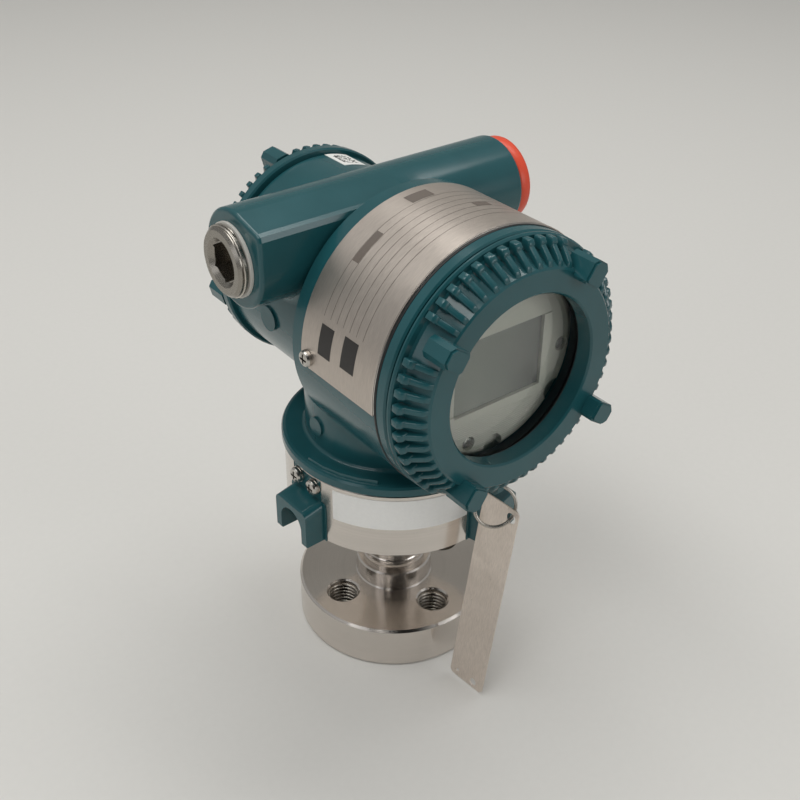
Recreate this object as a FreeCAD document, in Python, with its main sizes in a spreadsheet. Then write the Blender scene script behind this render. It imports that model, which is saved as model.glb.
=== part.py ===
import FreeCAD, Part
import math
import os

import Sketcher
from FreeCAD import Placement, Rotation, Vector

# A gauge pressure transmitter: a cast housing with two screwed covers and two conduit
# entries, standing on a round sensor body, a short neck and a bolted process flange.
# Millimetres. The origin is the centre of the flange's underside and +Z is up.
# The display looks along -Y, and the two conduit entries lie along X.

doc = FreeCAD.newDocument("pressure_transmitter")

# ---------------------------------------------------------------------------------
# Driving dimensions
# ---------------------------------------------------------------------------------

DIMENSIONS = {
    # process flange and neck, all turned from one bar
    "flange_radius": 38.2,
    "flange_depth": 18.1,
    "flange_chamfer": 0.9,
    "bolt_circle_radius": 25.2,
    "bolt_hole_radius": 6.0,
    "bolt_hole_chamfer": 0.6,
    "port_radius": 6.0,
    "port_depth": 12.0,
    "seal_seat_radius": 14.0,
    "seal_seat_depth": 1.5,
    "capillary_radius": 2.0,
    "collar_radius": 15.0,
    "collar_fillet": 0.5,
    "collar_top": 26.2,
    "neck_radius": 12.5,
    "neck_ring_depth": 0.6,
    "neck_top": 60.5,
    # round sensor body
    "drum_radius": 41.5,
    "drum_bottom": 58.8,
    "drum_top": 86.4,
    "drum_edge": 0.8,
    "drum_boss_radius": 21.0,
    "drum_boss_drop": 2.6,
    "cavity_radius": 30.0,
    "cavity_floor": 66.0,
    "spigot_radius": 37.6,
    "spigot_top": 90.2,
    "spigot_groove_low": 87.4,
    "spigot_groove_high": 89.2,
    "spigot_groove_radius": 36.2,
    # cable saddles on the sensor body
    "saddle_face": 40.6,
    "saddle_gap": 0.2,
    "saddle_seat": 38.2,
    "saddle_reach": 48.6,
    "saddle_half_width": 9.2,
    "saddle_wall": 3.0,
    "saddle_plate_half_width": 10.4,
    "saddle_foot": 59.4,
    "saddle_plate_top": 76.4,
    "saddle_tongue_top": 85.2,
    "saddle_tongue_half_width": 8.0,
    "saddle_crown": 76.2,
    "saddle_roof_drop": 1.6,
    "saddle_roof_bend": 2.8,
    "saddle_corner": 2.0,
    "saddle_screw_height": 81.6,
    "saddle_screw_offset": 4.8,
    "saddle_screw_hole": 1.6,
    "saddle_screw_length": 5.2,
    "left_saddle_angle": 182.0,
    "right_saddle_angle": -74.0,
    # housing casting
    "axis_height": 140.0,
    "front_radius": 45.7,
    "front_end": 53.5,
    "shoulder_front": 3.4,
    "shoulder_rear": 0.5,
    "rear_radius": 38.0,
    "rear_end": 48.8,
    "front_bore": 41.2,
    "front_bore_depth": 13.0,
    "front_chamber": 39.6,
    "front_chamber_floor": 12.0,
    "rear_bore": 34.6,
    "rear_bore_depth": 11.0,
    "rear_chamber": 33.0,
    "rear_chamber_floor": 3.0,
    "feed_radius": 5.0,
    "skirt_radius": 42.4,
    "skirt_band_top": 90.8,
    "skirt_bore": 38.0,
    "neck_wall_radius": 33.4,
    "neck_wall_high": 124.0,
    "neck_hollow_radius": 24.0,
    "neck_hollow_top": 96.0,
    "crescent_top": 92.4,
    "crescent_outer": 40.9,
    "neck_pad_radius": 3.6,
    "neck_pad_offset": 2.0,
    "neck_pad_height": 100.0,
    "conduit_offset": 14.0,
    "conduit_height": 167.0,
    "conduit_radius": 16.8,
    "conduit_reach": 55.0,
    "conduit_edge": 1.3,
    "conduit_corner_low": 178.6,
    "conduit_corner_high": 180.9,
    "neck_front_blend": 1.8,
    "neck_rear_blend": 3.0,
    "tube_blend": 3.0,
    "skirt_blend": 1.4,
    "conduit_bore": 10.9,
    "pad_radius": 4.6,
    "pad_lift": 0.8,
    "pad_offset": 22.6,
    "pad_height": 136.0,
    # front cover
    "front_cover_radius": 45.6,
    "front_cover_start": 53.9,
    "front_band_end": 55.7,
    "front_groove_radius": 43.2,
    "front_rib_start": 56.6,
    "front_rib_rear_radius": 42.4,
    "front_rib_front_radius": 38.6,
    "front_face": 65.2,
    "front_face_radius": 37.4,
    "window_mouth_radius": 30.1,
    "window_radius": 29.5,
    "window_bevel": 0.6,
    "window_lip": 59.2,
    "glass_seat_radius": 36.2,
    "front_spigot_radius": 40.8,
    "front_spigot_end": 46.6,
    "front_lug_angle": 56.0,
    "front_lug_radius": 39.6,
    "front_lug_start": 60.6,
    "front_lug_end": 71.0,
    # rear cover
    "rear_cover_radius": 40.0,
    "rear_cover_start": 49.2,
    "rear_band_end": 53.2,
    "rear_face": 59.2,
    "rear_face_radius": 34.2,
    "rear_rib_start": 53.6,
    "rear_rib_rear_radius": 38.2,
    "rear_rib_front_radius": 35.4,
    "rear_spigot_radius": 34.2,
    "rear_spigot_inner": 30.6,
    "rear_spigot_end": 39.6,
    "rear_lug_angle": 75.0,
    "rear_lug_radius": 35.8,
    "rear_lug_start": 54.0,
    "rear_lug_end": 64.2,
    # ribs and lugs that both covers share
    "rib_width": 1.8,
    "rib_rise": 1.5,
    "rib_pitch": 6.43,
    "rib_first": 9.64,
    "lug_half_width": 3.7,
    "lug_half_depth": 4.2,
    "lug_nose": 0.7,
    "rear_rib_rise": 1.1,
    # glass and seals
    "glass_radius": 35.8,
    "glass_depth": 5.0,
    "gasket_depth": 0.8,
    "retainer_inner": 32.2,
    "retainer_depth": 3.0,
    "ring_gap": 0.3,
    # display and electronics
    "bezel_radius": 38.6,
    "bezel_disc_radius": 31.6,
    "bezel_step": 46.0,
    "bezel_face": 51.0,
    "bezel_depth": 15.4,
    "bezel_window_half_width": 18.3,
    "bezel_window_half_height": 13.0,
    "bezel_window_lift": 0.0,
    "bezel_window_depth": 2.0,
    "bezel_frame_width": 3.2,
    "bezel_frame_rise": 0.5,
    "display_screw_recess": 2.7,
    "display_screw_recess_depth": 1.6,
    "display_notch_radius": 4.0,
    "display_notch_depth": 2.5,
    "lcd_depth": 1.4,
    "board_radius": 37.0,
    "board_depth": 1.6,
    "module_radius": 36.0,
    "module_depth": 18.0,
    # terminal block
    "terminal_radius": 31.0,
    "terminal_front": 5.0,
    "terminal_depth": 15.0,
    "terminal_top": 13.0,
    "terminal_screw_hole": 2.1,
    "terminal_screw_length": 5.0,
    # conduit plug and cap
    "plug_radius": 11.7,
    "plug_thread_radius": 10.6,
    "plug_head": 4.6,
    "plug_length": 16.0,
    "plug_socket_flats": 12.6,
    "plug_socket_depth": 9.0,
    "seal_ring_radius": 12.6,
    "seal_ring_depth": 1.0,
    "cap_radius": 14.2,
    "cap_flange_depth": 2.4,
    "cap_gap": 0.4,
    "cap_plug_radius": 10.4,
    "cap_plug_length": 9.0,
    "cap_wall": 1.4,
    # plates and labels
    "plate_thickness": 0.5,
    "name_plate_front": 48.3,
    "name_plate_rear": 10.0,
    "name_plate_half_angle": 94.0,
    "name_screw_offset": 13.7,
    "name_screw_angle": 0.8,
    "name_hole_right_angle": 4.8,
    "name_hole_left_angle": 183.2,
    "name_hole_radius": 1.6,
    "name_screw_length": 3.0,
    "label_thickness": 0.15,
    "label_low": 71.4,
    "label_high": 84.2,
    "label_start_angle": -159.3,
    "label_end_angle": -84.0,
    "label_cut_angle": 85.3,
    "code_front": 35.6,
    "code_rear": 48.2,
    "code_start_angle": 69.5,
    "code_end_angle": 84.0,
    # screws
    "saddle_screw_head": 2.9,
    "saddle_screw_head_depth": 2.0,
    "saddle_screw_shank": 1.5,
    "washer_radius": 3.1,
    "washer_depth": 0.8,
    # tag and its wire ring
    "tag_ring_radius": 7.4,
    "tag_wire_radius": 0.6,
    "tag_width": 16.5,
    "tag_length": 82.8,
    "tag_hole_inset": 3.2,
    "tag_hole_drop": 3.9,
    "tag_corner": 1.2,
    "tag_foot_hole_rise": 2.5,
    "tag_hole_radius": 2.1,
    "eye_across": 2.4,
    "eye_along": -53.4,
    "eye_height": 91.0,
    "eye_hole_radius": 1.7,
    "eye_radius": 2.8,
    "eye_width": 2.6,
}

sheet = doc.addObject("Spreadsheet::Sheet", "dims")
for row, (alias, value) in enumerate(DIMENSIONS.items(), start=1):
    sheet.set(f"A{row}", alias)
    sheet.set(f"B{row}", str(value))
    sheet.setAlias(f"B{row}", alias)
doc.recompute()


class Size:
    """A dimension with the spreadsheet formula that it comes from."""

    def __init__(self, value, formula):
        self.value = float(value)
        self.formula = formula

    def __add__(self, other):
        other = as_size(other)
        return Size(self.value + other.value, f"({self.formula} + {other.formula})")

    def __radd__(self, other):
        return as_size(other) + self

    def __sub__(self, other):
        other = as_size(other)
        return Size(self.value - other.value, f"({self.formula} - {other.formula})")

    def __rsub__(self, other):
        return as_size(other) - self

    def __mul__(self, factor):
        factor = as_size(factor)
        return Size(self.value * factor.value, f"({self.formula} * {factor.formula})")

    def __rmul__(self, factor):
        return as_size(factor) * self

    def __neg__(self):
        return self * -1


def as_size(number):
    """Plain numbers become their own formula."""
    if isinstance(number, Size):
        return number
    return Size(number, repr(float(number)))


def dim(alias):
    """The spreadsheet's cell of that name."""
    return Size(sheet.get(alias), f"dims.{alias}")


def bind(thing, prop, length):
    """Drive a property of an object from the spreadsheet."""
    thing.setExpression(prop, as_size(length).formula)


# ---------------------------------------------------------------------------------
# Sketches
# ---------------------------------------------------------------------------------


def origin_plane(body, role):
    for feature in body.Origin.OriginFeatures:
        if feature.Role == role:
            return feature
    raise ValueError(role)


def new_sketch(body, role, lift=0, shift=0, turn=None):
    """A sketch on one of the body's own planes.

    It is lifted along the plane's normal and shifted along its second axis. A turn is the
    spreadsheet's name for an angle that swings the plane about its own second axis.
    """
    sketch = body.newObject("Sketcher::SketchObject", f"{body.Name}_sketch")
    sketch.AttachmentSupport = [(origin_plane(body, role), "")]
    sketch.MapMode = "FlatFace"
    lift, shift = as_size(lift), as_size(shift)
    across = 0.0
    if turn is not None:
        angle = math.radians(dim(turn).value)
        cosine, sine = f"cos(dims.{turn} * 1deg)", f"sin(dims.{turn} * 1deg)"
        across = lift.value * math.sin(angle)
        sketch.setExpression("AttachmentOffset.Base.x", f"{lift.formula} * {sine}")
        lift = Size(lift.value * math.cos(angle), f"{lift.formula} * {cosine}")
        swing = Rotation(Vector(0, 1, 0), dim(turn).value)
    else:
        swing = Rotation()
    sketch.AttachmentOffset = Placement(Vector(across, shift.value, lift.value), swing)
    sketch.setExpression("AttachmentOffset.Base.y", shift.formula)
    sketch.setExpression("AttachmentOffset.Base.z", lift.formula)
    return sketch


def hold(sketch, curve, end, kind, length):
    """Hold one end of a curve at a distance from the origin, along one axis."""
    length = as_size(length)
    if length.value == 0:
        axis = -2 if kind == "DistanceX" else -1
        sketch.addConstraint(Sketcher.Constraint("PointOnObject", curve, end, axis))
        return
    index = sketch.addConstraint(Sketcher.Constraint(kind, -1, 1, curve, end, length.value))
    sketch.setExpression(f"Constraints[{index}]", length.formula)


def pin(sketch, curve, end, point):
    """Hold one end of a curve at a point given by two sizes."""
    hold(sketch, curve, end, "DistanceX", point[0])
    hold(sketch, curve, end, "DistanceY", point[1])


def hold_radius(sketch, curve, radius):
    index = sketch.addConstraint(Sketcher.Constraint("Radius", curve, radius.value))
    sketch.setExpression(f"Constraints[{index}]", radius.formula)


def draw_outline(sketch, points):
    """A closed outline of straight edges through the points."""
    corners = [(as_size(across), as_size(along)) for across, along in points]
    places = [Vector(across.value, along.value, 0) for across, along in corners]
    first = sketch.GeometryCount
    count = len(places)
    for index in range(count):
        line = Part.LineSegment(places[index], places[(index + 1) % count])
        sketch.addGeometry(line, False)
    for index in range(count):
        following = first + (index + 1) % count
        sketch.addConstraint(Sketcher.Constraint("Coincident", first + index, 2, following, 1))
    for index in range(count):
        pin(sketch, first + index, 1, corners[index])


def draw_circle(sketch, across, along, radius):
    """A circle of the given radius about a pinned centre."""
    across, along, radius = as_size(across), as_size(along), as_size(radius)
    circle = Part.Circle(Vector(across.value, along.value, 0), Vector(0, 0, 1), radius.value)
    curve = sketch.addGeometry(circle, False)
    hold_radius(sketch, curve, radius)
    pin(sketch, curve, 3, (across, along))


def rectangle(left, right, low, high):
    return [(left, low), (right, low), (right, high), (left, high)]


def regular_polygon(radius, sides, turn=0.0):
    """Corner points on a circle of the given radius."""
    angles = [math.radians(turn + 360.0 * side / sides) for side in range(sides)]
    return [(radius * math.cos(angle), radius * math.sin(angle)) for angle in angles]


# ---------------------------------------------------------------------------------
# Features of a body, modelled about the body's own Z axis
# ---------------------------------------------------------------------------------

sub_parts = []


def new_body(label, place=Placement()):
    body = doc.addObject("PartDesign::Body", label)
    body.Label = label
    body.Placement = place
    sub_parts.append(body)
    return body


def revolve(body, outline, kind="Revolution", role="XZ_Plane", lift=0, shift=0, axis="V_Axis"):
    """Turn an outline about one axis of its sketch, the body's Z axis unless told otherwise."""
    sketch = new_sketch(body, role, lift, shift)
    draw_outline(sketch, outline)
    feature = body.newObject(f"PartDesign::{kind}", f"{body.Name}_{kind.lower()}")
    feature.Profile = sketch
    feature.ReferenceAxis = (sketch, [axis])
    feature.Angle = 360
    body.Tip = feature
    return feature


def extrude(body, draw, length, role="XY_Plane", lift=0, kind="Pad", middle=False, back=False, turn=None):
    """Pad or pocket what the draw function puts in a sketch."""
    sketch = new_sketch(body, role, lift, turn=turn)
    draw(sketch)
    feature = body.newObject(f"PartDesign::{kind}", f"{body.Name}_{kind.lower()}")
    feature.Profile = sketch
    bind(feature, "Length", length)
    feature.Midplane = middle
    feature.Reversed = back
    body.Tip = feature
    return feature


def around(body, features, count):
    """Repeat features evenly about the body's Z axis."""
    pattern = body.newObject("PartDesign::PolarPattern", f"{body.Name}_pattern")
    pattern.Originals = features
    pattern.Axis = (origin_plane(body, "Z_Axis"), [""])
    pattern.Angle = 360
    pattern.Occurrences = count
    body.Tip = pattern
    return pattern


def soften(body, kind, size, wanted):
    """Fillet or chamfer the edges whose bounding box passes a test."""
    doc.recompute()
    tip = body.Tip
    names = [f"Edge{n}" for n, edge in enumerate(tip.Shape.Edges, start=1) if wanted(edge.BoundBox)]
    if not names:
        raise ValueError(f"{body.Name} has no such edge")
    feature = body.newObject(f"PartDesign::{kind}", f"{body.Name}_{kind.lower()}")
    feature.Base = (tip, names)
    bind(feature, "Radius" if kind == "Fillet" else "Size", size)
    body.Tip = feature
    return feature


def close(number, size):
    """Whether a measured coordinate is that of a dimension."""
    return abs(number - as_size(size).value) < 0.3


def turned(label, outline, place=Placement()):
    """A piece turned on a lathe."""
    body = new_body(label, place)
    revolve(body, outline)
    return body


def facing_front(height=None, across=0.0, along=0.0):
    """Local Z points at the reader of the display, along -Y."""
    height = dim("axis_height").value if height is None else height
    return Placement(Vector(across, along, height), Rotation(Vector(1, 0, 0), 90))


def facing_rear():
    """Local Z points away from the display, along +Y."""
    return Placement(Vector(0, 0, dim("axis_height").value), Rotation(Vector(1, 0, 0), -90))


def facing_side(direction):
    """Local Z points out of a conduit entry, along X."""
    axis = Rotation(Vector(0, 0, 1), Vector(direction, 0, 0))
    return Placement(Vector(0, dim("conduit_offset").value, dim("conduit_height").value), axis)


# ---------------------------------------------------------------------------------
# Process flange and neck
# ---------------------------------------------------------------------------------


def process_flange():
    """Turned disc with a central port in a seal recess, and four bolt holes."""
    rim, depth, edge = dim("flange_radius"), dim("flange_depth"), dim("flange_chamfer")
    port, seat = dim("port_radius"), dim("seal_seat_radius")
    tube = dim("capillary_radius")
    outline = [
        (seat, 0),
        (rim - edge, 0),
        (rim, edge),
        (rim, depth - edge),
        (rim - edge, depth),
        (tube, depth),
        (tube, dim("port_depth") + 2),
        (port, dim("port_depth")),
        (port, dim("seal_seat_depth")),
        (seat, dim("seal_seat_depth")),
    ]
    body = turned("process_flange", outline)
    circle, bore = dim("bolt_circle_radius"), dim("bolt_hole_radius")
    hole = extrude(
        body,
        lambda sketch: draw_circle(sketch, circle, 0, bore),
        depth + 2,
        lift=-1,
        kind="Pocket",
        back=True,
    )
    around(body, [hole], 4)

    def hole_mouth(box):
        return close(box.ZMin, depth) and close(box.ZMax, depth) and close(box.XLength, 2 * bore)

    soften(body, "Chamfer", dim("bolt_hole_chamfer"), hole_mouth)


def sensor_neck():
    """Collar and shallow-ringed shaft, welded to the flange and to the sensor body."""
    foot, collar, fillet = dim("flange_depth"), dim("collar_radius"), dim("collar_fillet")
    neck, ring = dim("neck_radius"), dim("neck_ring_depth")
    start, top, tube = dim("collar_top"), dim("neck_top"), dim("capillary_radius")
    outline = [
        (tube, foot),
        (collar + fillet, foot),
        (collar, foot + fillet),
        (collar, start - ring),
        (collar - ring, start),
        (neck, start),
        (neck, start + 1.4),
        (neck - ring, start + 1.8),
        (neck - ring, start + 2.6),
        (neck, start + 3.0),
        (neck, start + 4.4),
        (neck - 0.5 * ring, start + 4.8),
        (neck - 0.5 * ring, start + 5.6),
        (neck, start + 6.0),
        (neck, top - 8),
        (neck + 3, top - 5),
        (neck + 3, top),
        (tube, top),
    ]
    turned("sensor_neck", outline)


# ---------------------------------------------------------------------------------
# Round sensor body, its saddles, label, screws and inner pieces
# ---------------------------------------------------------------------------------


def turned_about(angle_alias):
    """Local X points out of the sensor body at the angle in the sheet."""
    return Placement(Vector(), Rotation(Vector(0, 0, 1), dim(angle_alias).value))


def saddle_outline(spread=0.0):
    """Plate with a narrower tongue, in (across, height) points."""
    plate = dim("saddle_plate_half_width") + spread
    tongue = dim("saddle_tongue_half_width") + spread
    corner = dim("saddle_corner")
    foot = dim("saddle_foot") - spread
    shoulder = dim("saddle_plate_top") + spread
    crest = dim("saddle_tongue_top") + spread
    right = [
        (plate, foot),
        (plate, shoulder - corner),
        (plate - 0.3 * corner, shoulder - 0.3 * corner),
        (plate - corner, shoulder),
        (tongue, shoulder),
        (tongue, crest),
    ]
    return right + [(-across, height) for across, height in reversed(right)]


def sensor_body():
    rim, low, high, edge = dim("drum_radius"), dim("drum_bottom"), dim("drum_top"), dim("drum_edge")
    boss = dim("drum_boss_radius")
    spigot, groove = dim("spigot_radius"), dim("spigot_groove_radius")
    floor, cavity = dim("cavity_floor"), dim("cavity_radius")
    socket = dim("neck_radius") + 3
    outline = [
        (socket, low - dim("drum_boss_drop")),
        (boss, low - dim("drum_boss_drop")),
        (boss, low),
        (rim - edge, low),
        (rim, low + edge),
        (rim, high - edge),
        (rim - edge, high),
        (spigot, high),
        (spigot, dim("spigot_groove_low")),
        (groove, dim("spigot_groove_low")),
        (groove, dim("spigot_groove_high")),
        (spigot, dim("spigot_groove_high")),
        (spigot, dim("spigot_top")),
        (cavity, dim("spigot_top")),
        (cavity, floor),
        (dim("capillary_radius"), floor),
        (dim("capillary_radius"), dim("neck_top")),
        (socket, dim("neck_top")),
    ]
    body = turned("sensor_body", outline)
    seat = dim("saddle_seat")
    for angle in ("left_saddle_angle", "right_saddle_angle"):
        extrude(
            body,
            lambda sketch: draw_outline(sketch, saddle_outline(dim("saddle_gap"))),
            rim - seat + 2,
            role="YZ_Plane",
            lift=seat,
            kind="Pocket",
            back=True,
            turn=angle,
        )
        screw_holes(body, seat - 3.2, 6, angle)


def screw_holes(body, lift, depth, turn=None):
    """The two holes of a saddle's screws."""
    height, bore = dim("saddle_screw_height"), dim("saddle_screw_hole")
    for offset in (dim("saddle_screw_offset"), -dim("saddle_screw_offset")):
        extrude(
            body,
            lambda sketch: draw_circle(sketch, offset, height, bore),
            depth,
            role="YZ_Plane",
            lift=lift,
            kind="Pocket",
            back=True,
            turn=turn,
        )


def saddle(label, angle_alias):
    """Cast bracket: a plate held by two screws, and a bridge on two legs."""
    body = new_body(label, turned_about(angle_alias))
    face, seat, reach = dim("saddle_face"), dim("saddle_seat"), dim("saddle_reach")
    outer, wall = dim("saddle_half_width"), dim("saddle_wall")
    crown, foot, sloped = dim("saddle_crown"), dim("saddle_foot"), dim("saddle_roof_drop")
    block = [
        (face, foot),
        (reach - 0.5, foot),
        (reach, foot + 0.5),
        (reach, crown - sloped - 0.6),
        (reach - 0.6, crown - sloped),
        (face, crown),
    ]
    extrude(
        body,
        lambda sketch: draw_outline(sketch, block),
        2 * outer,
        role="XZ_Plane",
        middle=True,
    )

    def roof_edge(box):
        sideways = box.YLength < 0.01 and abs(abs(box.YMin) - outer.value) < 0.01
        return sideways and box.XLength > 5 and box.ZMin > (crown - sloped - 1).value

    soften(body, "Fillet", dim("saddle_roof_bend"), roof_edge)
    extrude(
        body,
        lambda sketch: draw_outline(sketch, saddle_outline()),
        face - seat,
        role="YZ_Plane",
        lift=seat,
    )
    inner = outer - wall
    spring = crown - sloped - wall - inner
    passage = rectangle(-inner, inner, foot - 1, spring)
    for draw in (
        lambda sketch: draw_outline(sketch, passage),
        lambda sketch: draw_circle(sketch, 0, spring, inner),
    ):
        extrude(body, draw, reach - face + 1, role="YZ_Plane", lift=face, kind="Pocket", back=True)
    screw_holes(body, seat - 1, 6)


def small_screw(label, place, head, depth, shank, length):
    """Pan-head screw with a crossed recess. Local Z leaves the head."""
    outline = [
        (0, -length),
        (shank, -length),
        (shank, 0),
        (head, 0),
        (head, 0.55 * depth),
        (0.86 * head, 0.85 * depth),
        (0.5 * head, depth),
        (0, depth),
    ]
    body = turned(label, outline, place)
    arm, half = 0.62 * head, 0.13 * head

    def cross(sketch):
        quarter = [(arm, -half), (arm, half), (half, half)]
        points = []
        for across, along in quarter:
            points.append((across, along))
        turned_points = list(points)
        for _ in range(3):
            turned_points = [(-along, across) for across, along in turned_points]
            points.extend(turned_points)
        draw_outline(sketch, points)

    extrude(body, cross, 0.6 * depth, lift=depth, kind="Pocket")
    return body


def saddle_fasteners(side, angle_alias):
    """Two screws with their washers, above the saddle."""
    turn = Rotation(Vector(0, 0, 1), dim(angle_alias).value)
    outward = Rotation(Vector(0, 0, 1), Vector(1, 0, 0))
    height = dim("saddle_screw_height").value
    face, thick = dim("saddle_face").value, dim("washer_depth")
    for end, sign in (("lower", -1), ("upper", 1)):
        offset = sign * dim("saddle_screw_offset").value
        washer_place = Placement(turn.multVec(Vector(face, offset, height)), turn * outward)
        washer = [
            (dim("saddle_screw_shank") + 0.1, 0),
            (dim("washer_radius"), 0),
            (dim("washer_radius"), thick),
            (dim("saddle_screw_shank") + 0.1, thick),
        ]
        turned(f"{side}_saddle_washer_{end}", washer, washer_place)
        screw_seat = turn.multVec(Vector(face + thick.value, offset, height))
        small_screw(
            f"{side}_saddle_screw_{end}",
            Placement(screw_seat, turn * outward),
            dim("saddle_screw_head"),
            dim("saddle_screw_head_depth"),
            dim("saddle_screw_shank"),
            dim("saddle_screw_length"),
        )


def tag_label():
    """A strip stuck round the front of the sensor body."""
    rim = dim("drum_radius")
    body = new_body("tag_label")
    ring = [
        (rim, dim("label_low")),
        (rim + dim("label_thickness"), dim("label_low")),
        (rim + dim("label_thickness"), dim("label_high")),
        (rim, dim("label_high")),
    ]
    sweep = dim("label_end_angle") - dim("label_start_angle")
    feature = revolve(body, ring)
    bind(feature, "Angle", sweep)
    extrude(
        body,
        lambda sketch: draw_outline(sketch, saddle_outline(2 * dim("saddle_gap"))),
        5,
        role="YZ_Plane",
        lift=dim("saddle_seat"),
        kind="Pocket",
        back=True,
        turn="label_cut_angle",
    )
    body.Placement = Placement(Vector(), Rotation(Vector(0, 0, 1), dim("label_start_angle").value))


def sensor_inside():
    """The oil-filled capsule with its header, and the seal round the spigot."""
    cavity, floor = dim("cavity_radius"), dim("cavity_floor")
    capsule = cavity - 1
    turned(
        "sensor_capsule",
        [
            (0, floor),
            (capsule, floor),
            (capsule, floor + 13),
            (0.6 * capsule, floor + 16),
            (0.6 * capsule, floor + 20),
            (0, floor + 20),
        ],
    )
    groove, low, high = dim("spigot_groove_radius"), dim("spigot_groove_low"), dim("spigot_groove_high")
    turned(
        "body_oring",
        [
            (groove, low + 0.1),
            (dim("skirt_bore"), low + 0.1),
            (dim("skirt_bore"), high - 0.1),
            (groove, high - 0.1),
        ],
    )


# ---------------------------------------------------------------------------------
# Housing casting
# ---------------------------------------------------------------------------------


def housing():
    body = new_body("housing")
    height = dim("axis_height")
    front, rear = dim("front_radius"), dim("rear_radius")
    revolve(
        body,
        [
            (0, -dim("front_end")),
            (front - 0.6, -dim("front_end")),
            (front, -dim("front_end") + 0.6),
            (front, -dim("shoulder_front") - 0.7),
            (front - 0.7, -dim("shoulder_front")),
            (rear, -dim("shoulder_rear")),
            (rear, dim("rear_end") - 0.6),
            (rear - 0.6, dim("rear_end")),
            (0, dim("rear_end")),
        ],
        role="XY_Plane",
        lift=height,
    )
    skirt, wall = dim("skirt_radius"), dim("neck_wall_radius")
    low, band = dim("drum_top"), dim("skirt_band_top")
    revolve(
        body,
        [
            (0, low),
            (skirt - 0.5, low),
            (skirt, low + 0.5),
            (skirt, band - 1.2),
            (skirt - 0.5, band - 0.3),
            (skirt - 1.6, band),
            (wall, band),
            (wall, dim("neck_wall_high")),
            (0, dim("neck_wall_high")),
        ],
    )
    reach = dim("conduit_reach")
    extrude(body, conduit_section, 2 * reach, role="YZ_Plane", middle=True)
    soften(
        body,
        "Fillet",
        dim("conduit_edge"),
        lambda box: box.XLength < 0.01 and close(abs(box.XMin), reach),
    )
    blend_housing(body)
    locking_eye(body)
    cast_pads(body)
    crescent(body)
    hollow_housing(body)
    name_plate_holes(body)


def conduit_section(sketch):
    """Round tube whose front is filled out to a flat face with an upper corner."""
    middle, height, radius = dim("conduit_offset"), dim("conduit_height"), dim("conduit_radius")
    face = middle - radius
    low, high = dim("conduit_corner_low"), dim("conduit_corner_high")
    centre = Vector(middle.value, height.value, 0)
    circle = Part.Circle(centre, Vector(0, 0, 1), radius.value)
    arc = sketch.addGeometry(Part.ArcOfCircle(circle, -math.pi, math.radians(100)), False)
    tangent = middle - math.cos(math.radians(80)) * radius
    crest = height + math.sin(math.radians(80)) * radius
    stations = [(tangent, crest), (face + 2.2, high), (face + 0.7, high - 0.6), (face, low), (face, height)]
    places = [Vector(as_size(across).value, as_size(along).value, 0) for across, along in stations]
    lines = [
        sketch.addGeometry(Part.LineSegment(start, end), False)
        for start, end in zip(places, places[1:])
    ]
    chain = [arc] + lines + [arc]
    for first, second in zip(chain, chain[1:]):
        sketch.addConstraint(Sketcher.Constraint("Coincident", first, 2, second, 1))
    for line, station in zip(lines[1:], stations[1:-1]):
        pin(sketch, line, 1, station)
    hold_radius(sketch, arc, radius)
    pin(sketch, arc, 3, (middle, height))
    hold(sketch, arc, 1, "DistanceY", height)
    hold(sketch, arc, 2, "DistanceX", tangent)


def blend_housing(body):
    """Cast blends where the neck and the conduit tube run into the two cylinders."""
    wall, band = dim("neck_wall_radius"), dim("skirt_band_top")
    axis, rear = dim("axis_height"), dim("rear_radius")
    tube_back = dim("conduit_offset") + dim("conduit_radius")

    def neck_front(box):
        return box.ZMin < 97 and close(box.YMin, -wall) and -7 < box.YMax < -2

    def neck_rear(box):
        return close(box.ZMin, axis - rear) and close(box.YMax, wall)

    def tube_rear(box):
        return close(box.YMax, tube_back) and 5 < box.XLength < 2 * wall.value

    def skirt(box):
        return close(box.ZMin, band) and close(box.ZMax, band) and close(box.XLength, 2 * wall)

    for blend, wanted in (
        ("neck_front_blend", neck_front),
        ("neck_rear_blend", neck_rear),
        ("tube_blend", tube_rear),
        ("skirt_blend", skirt),
    ):
        soften(body, "Fillet", dim(blend), wanted)


def locking_eye(body):
    """A cast ear under the front collar, with the hole that the tag's ring hangs in."""
    hole, rim, width = dim("eye_hole_radius"), dim("eye_radius"), dim("eye_width")
    across, along, height = dim("eye_across"), dim("eye_along"), dim("eye_height")
    collar = dim("axis_height") - dim("front_radius")
    wall = -dim("front_end") + 0.1

    def ear(sketch):
        outline = [
            (along - 0.45 * rim, height - rim),
            (along + 0.45 * rim, height - rim),
            (along + rim, height - 0.4 * rim),
            (along + rim + 3.0, collar + 0.4),
            (along + rim + 3.0, collar + 4.0),
            (wall, collar + 4.0),
            (wall, collar - 0.4),
            (along - 0.5 * rim, collar - 0.8),
            (along - rim, height + 0.4 * rim),
            (along - rim, height - 0.4 * rim),
        ]
        draw_outline(sketch, outline)

    extrude(body, ear, width, role="YZ_Plane", lift=across - 0.5 * width)
    extrude(
        body,
        lambda sketch: draw_circle(sketch, along, height, hole),
        width + 4,
        role="YZ_Plane",
        lift=across - 0.5 * width - 2,
        kind="Pocket",
        back=True,
    )


def cast_pads(body):
    """Small round pads on the left side of the rear cylinder and of the neck."""
    lift = dim("pad_lift")
    for name, wall in (("pad", "rear_radius"), ("neck_pad", "neck_wall_radius")):
        place = (dim(f"{name}_offset"), dim(f"{name}_height"), dim(f"{name}_radius"))
        extrude(
            body,
            lambda sketch: draw_circle(sketch, *place),
            6,
            role="YZ_Plane",
            lift=-dim(wall) - lift,
        )


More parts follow.
